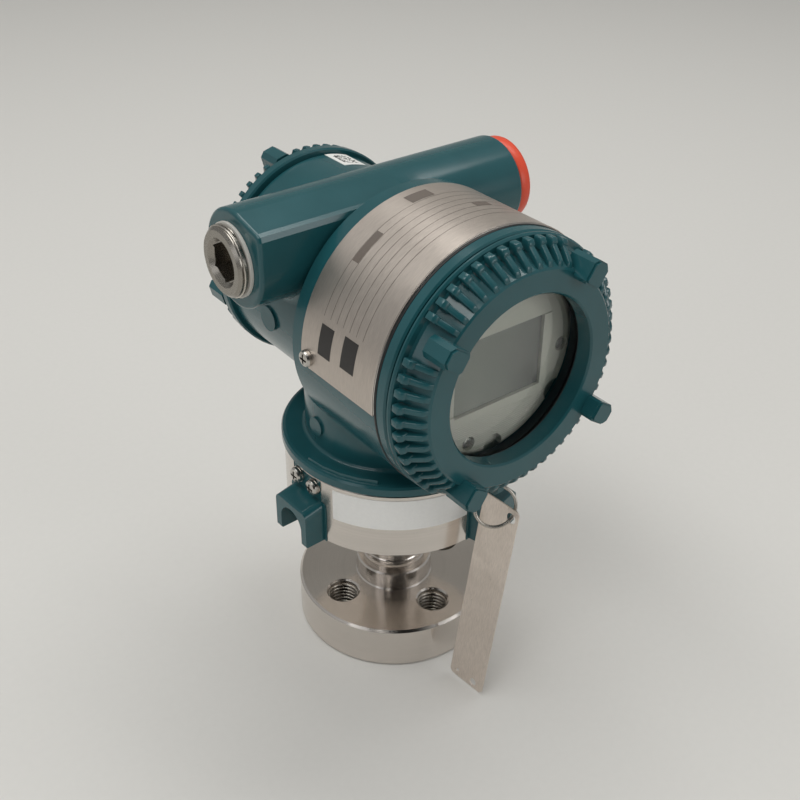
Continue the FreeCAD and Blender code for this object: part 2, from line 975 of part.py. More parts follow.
def crescent(body):
    """A raised crescent on the skirt that ends in a point at the front."""
    outer, top, low = dim("crescent_outer"), dim("crescent_top"), dim("drum_top") + 3
    ring = [(angle, outer) for angle in (-136, -146, -156, -166, -176)]
    inside = [(-176, outer - 1.4), (-166, outer - 2.2), (-156, outer - 2.4), (-146, outer - 1.6)]
    outline = [
        (math.cos(math.radians(angle)) * radius, math.sin(math.radians(angle)) * radius)
        for angle, radius in ring + inside
    ]
    extrude(body, lambda sketch: draw_outline(sketch, outline), top - low, lift=low)


def name_plate_holes(body):
    """Blind holes for the name plate's two screws."""
    height = dim("axis_height") + math.sin(math.radians(dim("name_screw_angle").value)) * dim("front_radius")
    for side in (1, -1):
        extrude(
            body,
            lambda sketch: draw_circle(sketch, -dim("name_screw_offset"), height, dim("name_hole_radius")),
            6,
            role="YZ_Plane",
            lift=side * (dim("front_radius") - dim("name_screw_length") - 0.2),
            kind="Pocket",
            back=side > 0,
        )


def hollow_housing(body):
    """The display chamber, the terminal chamber and the bores that open into them."""
    height = dim("axis_height")
    front_end, rear_end = dim("front_end"), dim("rear_end")
    revolve(
        body,
        [
            (0, -front_end - 1),
            (dim("front_bore"), -front_end - 1),
            (dim("front_bore"), -front_end + dim("front_bore_depth")),
            (dim("front_chamber"), -front_end + dim("front_bore_depth") + 1),
            (dim("front_chamber"), -dim("front_chamber_floor")),
            (dim("feed_radius"), -dim("front_chamber_floor")),
            (dim("feed_radius"), dim("rear_chamber_floor")),
            (dim("rear_chamber"), dim("rear_chamber_floor")),
            (dim("rear_chamber"), rear_end - dim("rear_bore_depth") - 1),
            (dim("rear_bore"), rear_end - dim("rear_bore_depth")),
            (dim("rear_bore"), rear_end + 1),
            (0, rear_end + 1),
        ],
        kind="Groove",
        role="XY_Plane",
        lift=height,
    )
    reach, bore = dim("conduit_reach"), dim("conduit_bore")
    revolve(
        body,
        [
            (-reach - 1, 0),
            (reach + 1, 0),
            (reach + 1, bore + 1.4),
            (reach, bore + 0.8),
            (reach - 0.8, bore),
            (0.8 - reach, bore),
            (-reach, bore + 0.8),
            (-reach - 1, bore + 1.4),
        ],
        kind="Groove",
        role="XY_Plane",
        lift=dim("conduit_height"),
        shift=dim("conduit_offset"),
        axis="H_Axis",
    )
    revolve(
        body,
        [
            (0, dim("drum_top") - 1),
            (dim("skirt_bore"), dim("drum_top") - 1),
            (dim("skirt_bore"), dim("spigot_top") + 0.3),
            (dim("neck_hollow_radius"), dim("spigot_top") + 0.3),
            (dim("neck_hollow_radius"), dim("neck_hollow_top")),
            (0, dim("neck_hollow_top")),
        ],
        kind="Groove",
    )


# ---------------------------------------------------------------------------------
# Screwed covers. Local Z leaves the housing along the cover's axis.
# ---------------------------------------------------------------------------------


RIBS_IN_A_QUARTER = 12


def cover_rib(body, rear_radius, start, front_radius, end, rise):
    """The first grip rib, a rounded ridge with a small step at its rear end."""
    sketch = new_sketch(body, "XZ_Plane")
    outline = [
        (rear_radius - 1.5, start),
        (rear_radius + rise, start),
        (rear_radius + rise + 0.5, start + 0.5),
        (rear_radius + rise + 0.2, start + 1.6),
        (rear_radius + 0.6 * rise, start + 2.2),
        (front_radius + rise, end - 1.4),
        (front_radius + 0.4 * rise, end - 0.3),
        (front_radius - 1.5, end),
    ]
    draw_outline(sketch, outline)
    angle = dim("rib_first")
    sketch.AttachmentOffset = Placement(Vector(), Rotation(Vector(0, 1, 0), angle.value))
    sketch.setExpression("AttachmentOffset.Rotation.Angle", angle.formula)
    rib = body.newObject("PartDesign::Pad", f"{body.Name}_rib")
    rib.Profile = sketch
    bind(rib, "Length", dim("rib_width"))
    rib.Midplane = True
    body.Tip = rib
    return rib


def repeat_rib(body, rib):
    """Twelve ribs between two lugs, four times round."""
    quarter = body.newObject("PartDesign::PolarPattern", f"{body.Name}_quarter")
    quarter.Axis = (origin_plane(body, "Z_Axis"), [""])
    quarter.Occurrences = RIBS_IN_A_QUARTER
    bind(quarter, "Angle", (RIBS_IN_A_QUARTER - 1) * dim("rib_pitch"))
    turn = body.newObject("PartDesign::PolarPattern", f"{body.Name}_turn")
    turn.Axis = (origin_plane(body, "Z_Axis"), [""])
    turn.Occurrences = 4
    turn.Angle = 360
    both = body.newObject("PartDesign::MultiTransform", f"{body.Name}_ribs")
    both.Originals = [rib]
    both.Transformations = [quarter, turn]
    body.Tip = both


def cover_lugs(body, radius, start, end):
    """Four driving lugs whose rounded ends stand out past the cover's face."""
    across, deep, nose = dim("lug_half_width"), dim("lug_half_depth"), dim("lug_nose")

    def section(inset):
        wide, far, near = across - inset, radius + deep - inset, radius - deep + inset
        cut = 0.45 * wide
        right = [(near, wide - 0.5 * cut), (near + 0.5 * cut, wide), (far - cut, wide), (far, wide - cut)]
        return [(out, -side) for out, side in right] + [(out, side) for out, side in reversed(right)]

    long_part = extrude(
        body,
        lambda sketch: draw_outline(sketch, section(0 * nose)),
        end - nose - start,
        lift=start,
    )
    rounded_end = extrude(
        body,
        lambda sketch: draw_outline(sketch, section(0.8 * nose)),
        nose + 0.1,
        lift=end - nose - 0.1,
    )
    around(body, [long_part, rounded_end], 4)


def spun(place, angle):
    """A placement turned on by some degrees about its own Z axis."""
    return Placement(place.Base, place.Rotation * Rotation(Vector(0, 0, 1), angle))


def front_cover():
    """Ribbed ring with a bevelled window. Its local X axis passes through a lug."""
    body = new_body("front_cover", spun(facing_front(), dim("front_lug_angle").value))
    rim, start = dim("front_cover_radius"), dim("front_cover_start")
    band, ribs, face = dim("front_band_end"), dim("front_rib_start"), dim("front_face")
    rear, front = dim("front_rib_rear_radius"), dim("front_rib_front_radius")
    mouth, window, bevel = dim("window_mouth_radius"), dim("window_radius"), dim("window_bevel")
    seat, lip = dim("glass_seat_radius"), dim("window_lip")
    spigot, end = dim("front_spigot_radius"), dim("front_spigot_end")
    revolve(
        body,
        [
            (seat, end),
            (spigot - 0.8, end),
            (spigot, end + 0.8),
            (spigot, start - 2.8),
            (spigot - 1.6, start - 2.8),
            (spigot - 1.6, start - 0.6),
            (spigot, start - 0.6),
            (spigot, start),
            (rim - 0.6, start),
            (rim, start + 0.6),
            (rim, band - 0.6),
            (rim - 0.6, band),
            (dim("front_groove_radius"), band + 0.2),
            (rear, ribs),
            (front, face - 1.6),
            (front - 0.5, face - 0.5),
            (dim("front_face_radius"), face),
            (mouth, face),
            (window, face - bevel),
            (window, lip),
            (seat, lip),
        ],
    )
    repeat_rib(body, cover_rib(body, rear, ribs, front, face - 1.2, dim("rib_rise")))
    cover_lugs(body, dim("front_lug_radius"), dim("front_lug_start"), dim("front_lug_end"))


def rear_cover():
    """Closed ribbed cap. Its local X axis passes through a lug."""
    body = new_body("rear_cover", spun(facing_rear(), dim("rear_lug_angle").value))
    rim, start = dim("rear_cover_radius"), dim("rear_cover_start")
    band, ribs, face = dim("rear_band_end"), dim("rear_rib_start"), dim("rear_face")
    rear, front = dim("rear_rib_rear_radius"), dim("rear_rib_front_radius")
    spigot, inner, end = dim("rear_spigot_radius"), dim("rear_spigot_inner"), dim("rear_spigot_end")
    revolve(
        body,
        [
            (inner, end),
            (spigot - 0.8, end),
            (spigot, end + 0.8),
            (spigot, start - 2.8),
            (spigot - 1.6, start - 2.8),
            (spigot - 1.6, start - 0.6),
            (spigot, start - 0.6),
            (spigot, start),
            (rim - 0.6, start),
            (rim, start + 0.6),
            (rim, band - 0.6),
            (rim - 0.6, band),
            (rear, ribs),
            (front, face - 1.4),
            (front - 0.4, face - 0.4),
            (dim("rear_face_radius"), face),
            (0, face),
            (0, face - 3.4),
            (inner - 2, face - 3.4),
            (inner, face - 5.4),
        ],
    )
    repeat_rib(body, cover_rib(body, rear, ribs, front, face - 1.0, dim("rear_rib_rise")))
    cover_lugs(body, dim("rear_lug_radius"), dim("rear_lug_start"), dim("rear_lug_end"))


def ring_section(label, inner, outer, low, high, place):
    return turned(label, [(inner, low), (outer, low), (outer, high), (inner, high)], place)


def front_cover_parts():
    """Glass against the cover's lip, held from behind by a threaded ring."""
    place = facing_front()
    lip = dim("window_lip")
    glass, gasket = dim("glass_radius"), dim("gasket_depth")
    glass_front = lip - gasket
    glass_rear = glass_front - dim("glass_depth")
    ring_section("window_gasket", dim("window_radius") + 0.4, glass, glass_front, lip, place)
    ring_section("window_glass", 0, glass, glass_rear, glass_front, place)
    ring_section(
        "glass_retainer",
        dim("retainer_inner"),
        dim("glass_seat_radius"),
        glass_rear - dim("retainer_depth"),
        glass_rear,
        place,
    )
    cover_oring("front_cover_oring", dim("front_spigot_radius"), dim("front_cover_start"), place)
    cover_oring("rear_cover_oring", dim("rear_spigot_radius"), dim("rear_cover_start"), facing_rear())


def cover_oring(label, spigot, start, place):
    """A seal ring that lies loose in the groove of the cover's spigot."""
    gap = dim("ring_gap")
    middle, inner, outer = start - 1.7, spigot - 1.6 + gap, spigot + 0.1
    radius = 0.5 * (outer - inner)
    centre = 0.5 * (outer + inner)
    points = regular_polygon(1.0, 10)
    outline = [(centre + across * radius, middle + along * radius) for across, along in points]
    turned(label, outline, place)


# ---------------------------------------------------------------------------------
# Display and electronics in the front chamber, terminals in the rear one
# ---------------------------------------------------------------------------------


def display():
    """Moulded bezel with its panel and screws, on a board and a potted module."""
    place = facing_front()
    face, depth, rim = dim("bezel_face"), dim("bezel_depth"), dim("bezel_radius")
    disc, step = dim("bezel_disc_radius"), dim("bezel_step")
    rear = face - depth
    bezel = turned(
        "display_bezel",
        [
            (0, rear),
            (rim, rear),
            (rim, step - 0.8),
            (rim - 0.8, step),
            (disc, step),
            (disc, face - 1.2),
            (disc - 0.4, face - 0.4),
            (disc - 1.2, face),
            (0, face),
        ],
        place,
    )
    wide, tall = dim("bezel_window_half_width"), dim("bezel_window_half_height")
    frame = dim("bezel_frame_width")
    right, low = wide + frame, -tall - frame
    corner = [
        (-wide - frame, low),
        (right - 1, low),
        (right, low + 1),
        (right, tall),
        (wide - 1, tall),
        (wide - 1, 1 - tall),
        (-wide - frame, 1 - tall),
    ]
    extrude(
        bezel,
        lambda sketch: draw_outline(sketch, corner),
        dim("bezel_frame_rise") + 0.2,
        lift=face - 0.2,
    )
    recess = dim("bezel_window_depth")
    window = rectangle(-wide, wide, -tall, tall)

    def sink(draw, deep):
        extrude(bezel, draw, deep + 1, lift=face + 1, kind="Pocket")

    sink(lambda sketch: draw_outline(sketch, window), recess)
    for index, (across, along) in enumerate(((27.5, -1.0), (-11.4, -25.4), (-14.7, 23.5)), start=1):
        deep = dim("display_screw_recess_depth")
        sink(lambda sketch: draw_circle(sketch, across, along, dim("display_screw_recess")), deep)
        sink(lambda sketch: draw_circle(sketch, across, along, 1.2), deep + 5)
        seat = place.multVec(Vector(across, along, (face - deep).value))
        small_screw(
            f"display_screw_{index}",
            Placement(seat, place.Rotation),
            as_size(2.2),
            as_size(1.2),
            as_size(1.1),
            4.0,
        )
    for across, along in ((25.5, -18.2), (-0.6, -30.0)):
        notch = dim("display_notch_depth")
        sink(lambda sketch: draw_circle(sketch, across, along, dim("display_notch_radius")), notch)
    panel = new_body("lcd_panel", place)
    inner = rectangle(0.2 - wide, wide - 0.2, 0.2 - tall, tall - 0.2)
    extrude(
        panel,
        lambda sketch: draw_outline(sketch, inner),
        dim("lcd_depth"),
        lift=face - recess,
    )
    ring_section("display_board", 0, dim("board_radius"), rear - dim("board_depth"), rear, place)
    module = rear - dim("board_depth")
    ring_section("electronics_module", 0, dim("module_radius"), module - dim("module_depth"), module, place)


def terminals():
    place = facing_rear()
    front, depth, rim = dim("terminal_front"), dim("terminal_depth"), dim("terminal_radius")
    block = turned(
        "terminal_block",
        [(0, front), (rim, front), (rim, front + depth - 1), (rim - 1, front + depth), (0, front + depth)],
        place,
    )
    top = dim("terminal_top")
    extrude(
        block,
        lambda sketch: draw_outline(sketch, rectangle(-rim - 1, rim + 1, -rim - 1, -top)),
        depth + 2,
        lift=front - 1,
        kind="Pocket",
        back=True,
    )
    length = dim("terminal_screw_length")
    for index, across in enumerate((-16.5, -5.5, 5.5, 16.5), start=1):
        extrude(
            block,
            lambda sketch: draw_circle(sketch, across, 4.0, dim("terminal_screw_hole")),
            length + 1,
            lift=front + depth,
            kind="Pocket",
        )
        seat = place.multVec(Vector(across, 4.0, (front + depth).value))
        small_screw(
            f"terminal_screw_{index}",
            Placement(seat, place.Rotation),
            as_size(3.6),
            as_size(2.2),
            as_size(2.0),
            length,
        )


# ---------------------------------------------------------------------------------
# Conduit plug and cap
# ---------------------------------------------------------------------------------


def conduit_plug():
    """A taper plug with a hexagon socket, standing a little out of the left entry."""
    reach, head = dim("conduit_reach"), dim("plug_head")
    outer, thread = dim("plug_radius"), dim("plug_thread_radius")
    inner_end = reach + head - dim("plug_length")
    seal = dim("seal_ring_depth")
    body = turned(
        "conduit_plug",
        [
            (0, inner_end),
            (thread - 1, inner_end),
            (thread, inner_end + 1),
            (thread, reach + seal + 0.2),
            (outer, reach + seal + 0.5),
            (outer, reach + head - 1.0),
            (outer - 1.0, reach + head),
            (0, reach + head),
        ],
        facing_side(-1),
    )
    corner = dim("plug_socket_flats") * (1 / math.sqrt(3))
    hexagon = [(corner * across, corner * along) for across, along in regular_polygon(1.0, 6)]
    extrude(
        body,
        lambda sketch: draw_outline(sketch, hexagon),
        dim("plug_socket_depth"),
        lift=reach + head,
        kind="Pocket",
    )
    revolve(
        body,
        [
            (0, reach + head - 1.6),
            (0.93 * corner, reach + head - 1.6),
            (1.16 * corner, reach + head + 0.1),
            (0, reach + head + 0.1),
        ],
        kind="Groove",
    )
    ring_section(
        "plug_seal_ring",
        thread + 0.3,
        dim("seal_ring_radius"),
        reach + 0.1,
        reach + seal,
        facing_side(-1),
    )


def conduit_cap():
    """A hollow push-in plastic cap that keeps dirt out of the right entry."""
    start = dim("conduit_reach") + dim("cap_gap")
    flange, plug, wall = dim("cap_radius"), dim("cap_plug_radius"), dim("cap_wall")
    outer_face = start + dim("cap_flange_depth")
    turned(
        "conduit_cap",
        [
            (plug - wall, start - dim("cap_plug_length")),
            (plug, start - dim("cap_plug_length")),
            (plug, start),
            (flange - 0.4, start),
            (flange, start + 0.5),
            (flange, outer_face - 0.6),
            (flange - 0.7, outer_face),
            (0, outer_face),
            (0, outer_face - wall),
            (plug - wall, outer_face - wall),
        ],
        facing_side(1),
    )


# ---------------------------------------------------------------------------------
# Plates, stickers, tag and ring
# ---------------------------------------------------------------------------------


def name_plate():
    """Thin sheet wrapped over the front cylinder."""
    rim, thick = dim("front_radius"), dim("plate_thickness")
    front, rear = dim("name_plate_front"), dim("name_plate_rear")
    place = spun(facing_front(), 90.0 - dim("name_plate_half_angle").value)
    body = new_body("name_plate", place)
    sheet_section = [(rim, rear), (rim + thick, rear), (rim + thick, front), (rim, front)]
    feature = revolve(body, sheet_section)
    bind(feature, "Angle", 2 * dim("name_plate_half_angle"))
    for angle in ("name_hole_right_angle", "name_hole_left_angle"):
        extrude(
            body,
            lambda sketch: draw_circle(sketch, 0, dim("name_screw_offset"), dim("name_hole_radius") + 0.1),
            6,
            role="YZ_Plane",
            lift=rim - 3,
            kind="Pocket",
            back=True,
            turn=angle,
        )
    seat = rim.value + thick.value
    along = dim("name_screw_offset").value
    lift = dim("axis_height").value + math.sin(math.radians(dim("name_screw_angle").value)) * seat
    for side, sign in (("left", -1), ("right", 1)):
        outward = Rotation(Vector(0, 0, 1), Vector(sign, 0, 0))
        small_screw(
            f"name_plate_screw_{side}",
            Placement(Vector(sign * seat, -along, lift), outward),
            dim("saddle_screw_head"),
            dim("saddle_screw_head_depth"),
            dim("saddle_screw_shank"),
            dim("name_screw_length"),
        )


def code_sticker():
    """A small plain sticker on top of the rear cylinder."""
    rim, front, rear = dim("rear_radius"), dim("code_front"), dim("code_rear")
    body = new_body("code_sticker", spun(facing_front(), dim("code_start_angle").value))
    sheet_section = [
        (rim, -rear),
        (rim + dim("label_thickness"), -rear),
        (rim + dim("label_thickness"), -front),
        (rim, -front),
    ]
    feature = revolve(body, sheet_section)
    bind(feature, "Angle", dim("code_end_angle") - dim("code_start_angle"))


# The wire ring hangs in the eye, leaning against the skirt, and the tag hangs in the ring.
RING_CENTRE = Vector(0.77, -55.75, 84.18)
RING_FACING = Vector(0.403, 0.831, -0.383)
TAG_HOLE = Vector(4.81, -59.85, 79.53)
TAG_UPWARD = Vector(0.1437, -0.0016, 0.9896)
TAG_SIDEWAYS = Vector(-0.0898, 0.9958, 0.0147)


def tag_and_ring():
    ring = doc.addObject("Part::Torus", "tag_ring")
    ring.Label = "tag_ring"
    bind(ring, "Radius1", dim("tag_ring_radius"))
    bind(ring, "Radius2", dim("tag_wire_radius"))
    ring.Placement = Placement(RING_CENTRE, Rotation(Vector(0, 0, 1), RING_FACING))
    sub_parts.append(ring)

    plate = new_body("tag_plate")
    width, length, thick = dim("tag_width"), dim("tag_length"), dim("plate_thickness")
    inset, drop, corner = dim("tag_hole_inset"), dim("tag_hole_drop"), dim("tag_corner")
    left, right = -inset, width - inset
    high, low = drop, drop - length
    outline = [
        (left + corner, high),
        (left, high - corner),
        (left, low + corner),
        (left + corner, low),
        (right - corner, low),
        (right, low + corner),
        (right, high - corner),
        (right - corner, high),
    ]
    extrude(plate, lambda sketch: draw_outline(sketch, outline), thick, lift=-0.5 * thick)
    foot_holes = low + dim("tag_foot_hole_rise")

    def holes(sketch):
        draw_circle(sketch, 0, 0, dim("tag_hole_radius"))
        draw_circle(sketch, 1.7, foot_holes, 1.5)
        draw_circle(sketch, 9.8, foot_holes, 0.8)

    extrude(plate, holes, thick + 2, lift=-0.5 * thick - 1, kind="Pocket", back=True)
    normal = TAG_SIDEWAYS.cross(TAG_UPWARD)
    plate.Placement = Placement(TAG_HOLE, Rotation(TAG_SIDEWAYS, TAG_UPWARD, normal, "ZXY"))


# ---------------------------------------------------------------------------------
# The assembly
# ---------------------------------------------------------------------------------

process_flange()
sensor_neck()
sensor_body()
sensor_inside()
saddle("left_saddle", "left_saddle_angle")
saddle("right_saddle", "right_saddle_angle")
saddle_fasteners("left", "left_saddle_angle")
saddle_fasteners("right", "right_saddle_angle")
tag_label()
housing()
front_cover()
front_cover_parts()
rear_cover()
display()
terminals()
conduit_plug()
conduit_cap()
name_plate()
code_sticker()
tag_and_ring()
doc.recompute()

problems = [thing.Name for thing in doc.Objects if {"Invalid", "Error"} & set(thing.State)]
for piece in sub_parts:
    if piece.Shape.isNull() or not piece.Shape.isValid() or len(piece.Shape.Solids) != 1:
        problems.append(piece.Label)
if problems:
    raise RuntimeError(f"these objects failed: {problems}")

os.makedirs("parts", exist_ok=True)
for piece in sub_parts:
    piece.Shape.exportStep(f"parts/{piece.Label}.step")
print(len(sub_parts), "pieces written")
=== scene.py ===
import math

import bmesh
import bpy
from bpy.props import FloatProperty, FloatVectorProperty, PointerProperty
from mathutils import Matrix, Vector
from mathutils.kdtree import KDTree


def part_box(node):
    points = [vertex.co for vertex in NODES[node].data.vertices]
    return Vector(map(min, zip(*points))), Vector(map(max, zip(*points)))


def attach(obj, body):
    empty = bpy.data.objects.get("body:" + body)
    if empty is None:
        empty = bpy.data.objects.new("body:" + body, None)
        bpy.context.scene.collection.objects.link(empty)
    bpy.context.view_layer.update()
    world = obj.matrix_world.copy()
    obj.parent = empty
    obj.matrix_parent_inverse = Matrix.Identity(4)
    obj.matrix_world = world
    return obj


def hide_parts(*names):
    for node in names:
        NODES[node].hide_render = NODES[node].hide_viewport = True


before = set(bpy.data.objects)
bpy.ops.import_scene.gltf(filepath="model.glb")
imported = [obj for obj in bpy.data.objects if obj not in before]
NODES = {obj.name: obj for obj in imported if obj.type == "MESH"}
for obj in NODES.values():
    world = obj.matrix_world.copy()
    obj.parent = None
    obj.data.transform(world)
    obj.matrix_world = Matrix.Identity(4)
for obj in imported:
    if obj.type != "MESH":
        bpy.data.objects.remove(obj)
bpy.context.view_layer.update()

bl_info = {
    "name": "Pressure Transmitter",
    "version": (1, 0, 0),
    "blender": (4, 5, 0),
    "location": "View3D > Sidebar > Transmitter",
    "description": "Dresses a gauge pressure transmitter in paint, turned steel, glass and plates",
    "category": "Object",
}

MM = 0.001
BASE = "transmitter"
ENAMEL = "polyurethane_enamel_teal"

# Height of the line that both covers turn about, and a point on the conduit tube's own line
AXIS_HEIGHT = 0.140
AXIS = Vector((0.0, 0.0, AXIS_HEIGHT))
CONDUIT = Vector((0.0, 0.014, 0.167))

# The conduit tube: its radius, its end, and the rounding of that end
TUBE_RADIUS = 16.8 * MM
TUBE_REACH = 55.0 * MM
TUBE_EDGE = 1.3 * MM
# The flat front of the tube fades out between these two stations
TUBE_BLEND = (4.0 * MM, 14.0 * MM)
# The casting is cut at these stations along the tube, in millimetres, and at these angles
# round it, in degrees
TUBE_STATIONS = (4, 9, 14, 24, 34, 44)
TUBE_ANGLES = tuple(range(96, 180, 7))
# How far under the rounded surface a face may lie and still be cut
TUBE_SKIN = 1.4 * MM

# Threads: the radius at the wall and at the ridge, the pitch and the number of turns
THREAD_STEPS = 36
BOLT_CIRCLE = 25.2 * MM
BOLT_THREAD_FOOT = 1.8 * MM
BOLT_THREAD = {"root": 6.0 * MM, "crest": 5.25 * MM, "pitch": 1.75 * MM, "turns": 8.6}
PLUG_THREAD_START = 1.5 * MM
PLUG_THREAD = {"root": 11.6 * MM, "crest": 12.2 * MM, "pitch": 1.2 * MM, "turns": 1.2}

# The name plate's outer radius, and the stations, ends and width of its rules, in millimetres
# and degrees
PLATE_RADIUS = 46.2 * MM
PLATE_RULES = (19.0, 22.4, 25.8, 29.0, 32.4, 35.8, 39.2)
RULE_ENDS = (60.0, 158.0)
RULE_WIDTH = 0.18
# The plate's front edge, a sloped strip painted bright as a highlight, and its blank field marks:
# from angle, to angle, front and rear
PLATE_EDGE_HIGHLIGHT = (-3.6, 183.6, -48.45, -47.95)
BLACK_FIELDS = ((161.0, 174.0, -25.7, -19.1), (160.0, 173.0, -38.0, -31.0))
BROWN_FIELDS = (
    (119.0, 134.0, -22.2, -19.2),
    (89.0, 100.0, -18.4, -13.4),
    (74.0, 82.0, -32.2, -29.3),
)

# The display: half the panel's width, and the moulded lines on its front
PANEL_HALF = 19.0 * MM
LINES_TOP = AXIS_HEIGHT - 16.4 * MM
LINES_PITCH = 0.8 * MM
# A band texture of scale 1 repeats about every 0.314 m
BAND_PERIOD = 0.314

# The square sticker on the rear chamber: its cells, and the middle and half width of its print
MOSAIC_CELL = 0.6 * MM
MOSAIC_PRINT = (("X", 8.8 * MM, 3.0 * MM), ("Y", 41.9 * MM, 4.4 * MM))

# Grip ribs: twelve between two lugs, four times round, in degrees from the lug
RIBS_IN_A_QUARTER = 12
RIB_FIRST = 9.64
RIB_PITCH = 6.43
RIB_EDGE = 0.34 * MM
# Radius and distance from the origin along the cover's axis, in millimetres
FRONT_RIDGE = (
    (40.6, 57.0),
    (44.2, 57.0),
    (44.0, 59.3),
    (41.1, 63.0),
    (39.9, 64.3),
    (38.2, 64.8),
    (37.0, 64.2),
)
FRONT_HEAD = ((41.6, 56.4), (45.4, 56.4), (45.4, 59.2), (44.2, 60.0), (41.6, 60.0))
REAR_RIDGE = (
    (36.6, 53.8),
    (39.8, 53.8),
    (39.6, 56.0),
    (37.1, 57.4),
    (36.3, 58.4),
    (34.6, 58.8),
    (33.8, 58.0),
)
# A black ring of painted shadow in the seam behind the front cover
SEAM_SHADOW_OUTLINE = (
    (45.2, 48.45),
    (45.85, 48.5),
    (45.95, 48.8),
    (45.95, 49.2),
    (45.85, 49.5),
    (45.2, 49.55),
)
# The cap, from its outer face round its flange to its hollow spigot
CAP_OUTLINE = (
    (0.0, 59.6),
    (10.6, 59.6),
    (11.1, 60.2),
    (14.6, 60.2),
    (15.3, 59.9),
    (15.6, 59.2),
    (15.6, 55.9),
    (15.3, 55.35),
    (10.4, 55.35),
    (10.4, 46.4),
    (9.0, 46.4),
    (9.0, 58.2),
    (0.0, 58.2),
)

# The stage: half the floor's width, the wall's height, the cove's reach and the wall's turn
FLOOR_HALF = 2.2
WALL_HEIGHT = 2.4
COVE = 0.9
WALL_TURN = -38
# Strength of the room's light, and what is added where the room itself is seen
ROOM_LIGHT = 0.41
ROOM_SHOWN = 0.3
# The camera's place, its lens, and its own right, up and back
CAMERA_PLACE = (-0.20953, -0.27002, 0.32521)
CAMERA_LENS = 49.9
CAMERA_RIGHT = (0.7912, -0.6115, 0.0106)
CAMERA_UP = (0.3307, 0.4423, 0.8337)
CAMERA_BACK = (-0.5145, -0.6561, 0.5521)
# Where the black flag hangs, seen from the object: up in front of it, to the left
FLAG_SIDE = (-0.5145, -0.6561, 0.5521)
# Cosines of the angles at which the flag's soft edge begins and ends
FLAG_EDGE = (0.74, 0.9)
LAMPS = (
    # name, place, aim, size, watts, colour
    ("panel_left", (-0.55, 0.05, 1.30), (0.0, 0.0, 0.08), (1.3, 0.40), 7.0, "#fdfdfb"),
    ("panel_right", (0.45, 0.25, 1.35), (0.0, 0.0, 0.08), (1.3, 0.40), 7.6, "#fdfdfb"),
    ("soft_left", (-1.25, -0.30, 0.62), (0.0, 0.0, 0.1), (0.5, 0.7), 1.2, "#fbfcff"),
    ("soft_front", (0.55, -1.25, 0.45), (0.0, 0.0, 0.1), (0.6, 0.5), 2.5, "#ffffff"),
)


def linear(code):
    """An sRGB hex code as linear red, green and blue."""
    channels = [int(code[index:index + 2], 16) / 255 for index in (1, 3, 5)]
    return tuple(c / 12.92 if c <= 0.04045 else ((c + 0.055) / 1.055) ** 2.4 for c in channels)


def pick_colour(label, text, code):
    """A colour that a user may change."""
    return FloatVectorProperty(
        name=label,
        description=text,
        subtype="COLOR",
        size=3,
        min=0.0,
        max=1.0,
        default=linear(code),
    )


def pick_length(label, text, millimetres):
    """A length that a user may change."""
    return FloatProperty(
        name=label,
        description=text,
        subtype="DISTANCE",
        unit="LENGTH",
        default=millimetres * MM,
        min=0.0,
    )


# ---------------------------------------------------------------------------------
# Settings that a user would change
# ---------------------------------------------------------------------------------


class TransmitterFinishes(bpy.types.PropertyGroup):
    """Colours of the transmitter's finishes"""

    enamel: pick_colour("Enamel", "Colour of the painted castings", "#1f5258")
    steel: pick_colour("Steel", "Colour of the turned stainless steel", "#dbd4cd")
    sheet_steel: pick_colour("Sheet steel", "Colour of the plates", "#c4bab1")
    cap: pick_colour("Cap", "Colour of the plastic cap in the right entry", "#dc4a2c")
    bezel: pick_colour("Display bezel", "Colour of the moulded display front", "#bfbcb0")
    sticker: pick_colour("Sticker", "Colour of the blank sticker", "#eae9e6")
    floor: pick_colour("Floor", "Colour of the stage", "#d6d4d0")


class TransmitterSizes(bpy.types.PropertyGroup):
    """Scales of its surface patterns"""

    enamel_grain: pick_length("Enamel grain", "Size of the slight unevenness in the paint", 1.6)
    lathe_pitch: pick_length("Lathe pitch", "Distance between turning marks", 0.35)


# ---------------------------------------------------------------------------------
# Materials
# ---------------------------------------------------------------------------------


def add_node(tree, kind, inputs=None, stops=(), **settings):
    """Add a node, then set its settings, a ramp's stops and its inputs.

    An input given as a (node, output) pair is linked."""
    node = tree.nodes.new(kind)
    for name, value in settings.items():
        setattr(node, name, value)
    for index, (position, tone) in enumerate(stops):
        stop = node.color_ramp.elements[index]
        stop.position, stop.color = position, (*tone, 1.0)
    for name, value in (inputs or {}).items():
        socket = node.inputs[name]
        if isinstance(value, tuple) and len(value) == 2 and hasattr(value[0], "outputs"):
            tree.links.new(value[0].outputs[value[1]], socket)
        else:
            socket.default_value = value
    return node


def start_material(name):
    """An empty material with its object coordinates and its shader."""
    material = bpy.data.materials.new(name)
    material.use_nodes = True
    tree = material.node_tree
    tree.nodes.clear()
    place = add_node(tree, "ShaderNodeTexCoord")
    shader = add_node(tree, "ShaderNodeBsdfPrincipled")
    add_node(tree, "ShaderNodeOutputMaterial", {"Surface": (shader, "BSDF")})
    return material, tree, place, shader


def wire(tree, source, output, target, name):
    """Link one node's output to another's input."""
    tree.links.new(source.outputs[output], target.inputs[name])


def settings():
    """The colours and sizes that a user may change."""
    scene = bpy.context.scene
    return scene.transmitter_finishes, scene.transmitter_sizes


def shade(tone, factor):
    """A colour made darker or lighter."""
    return tuple(min(1.0, factor * value) for value in tone)


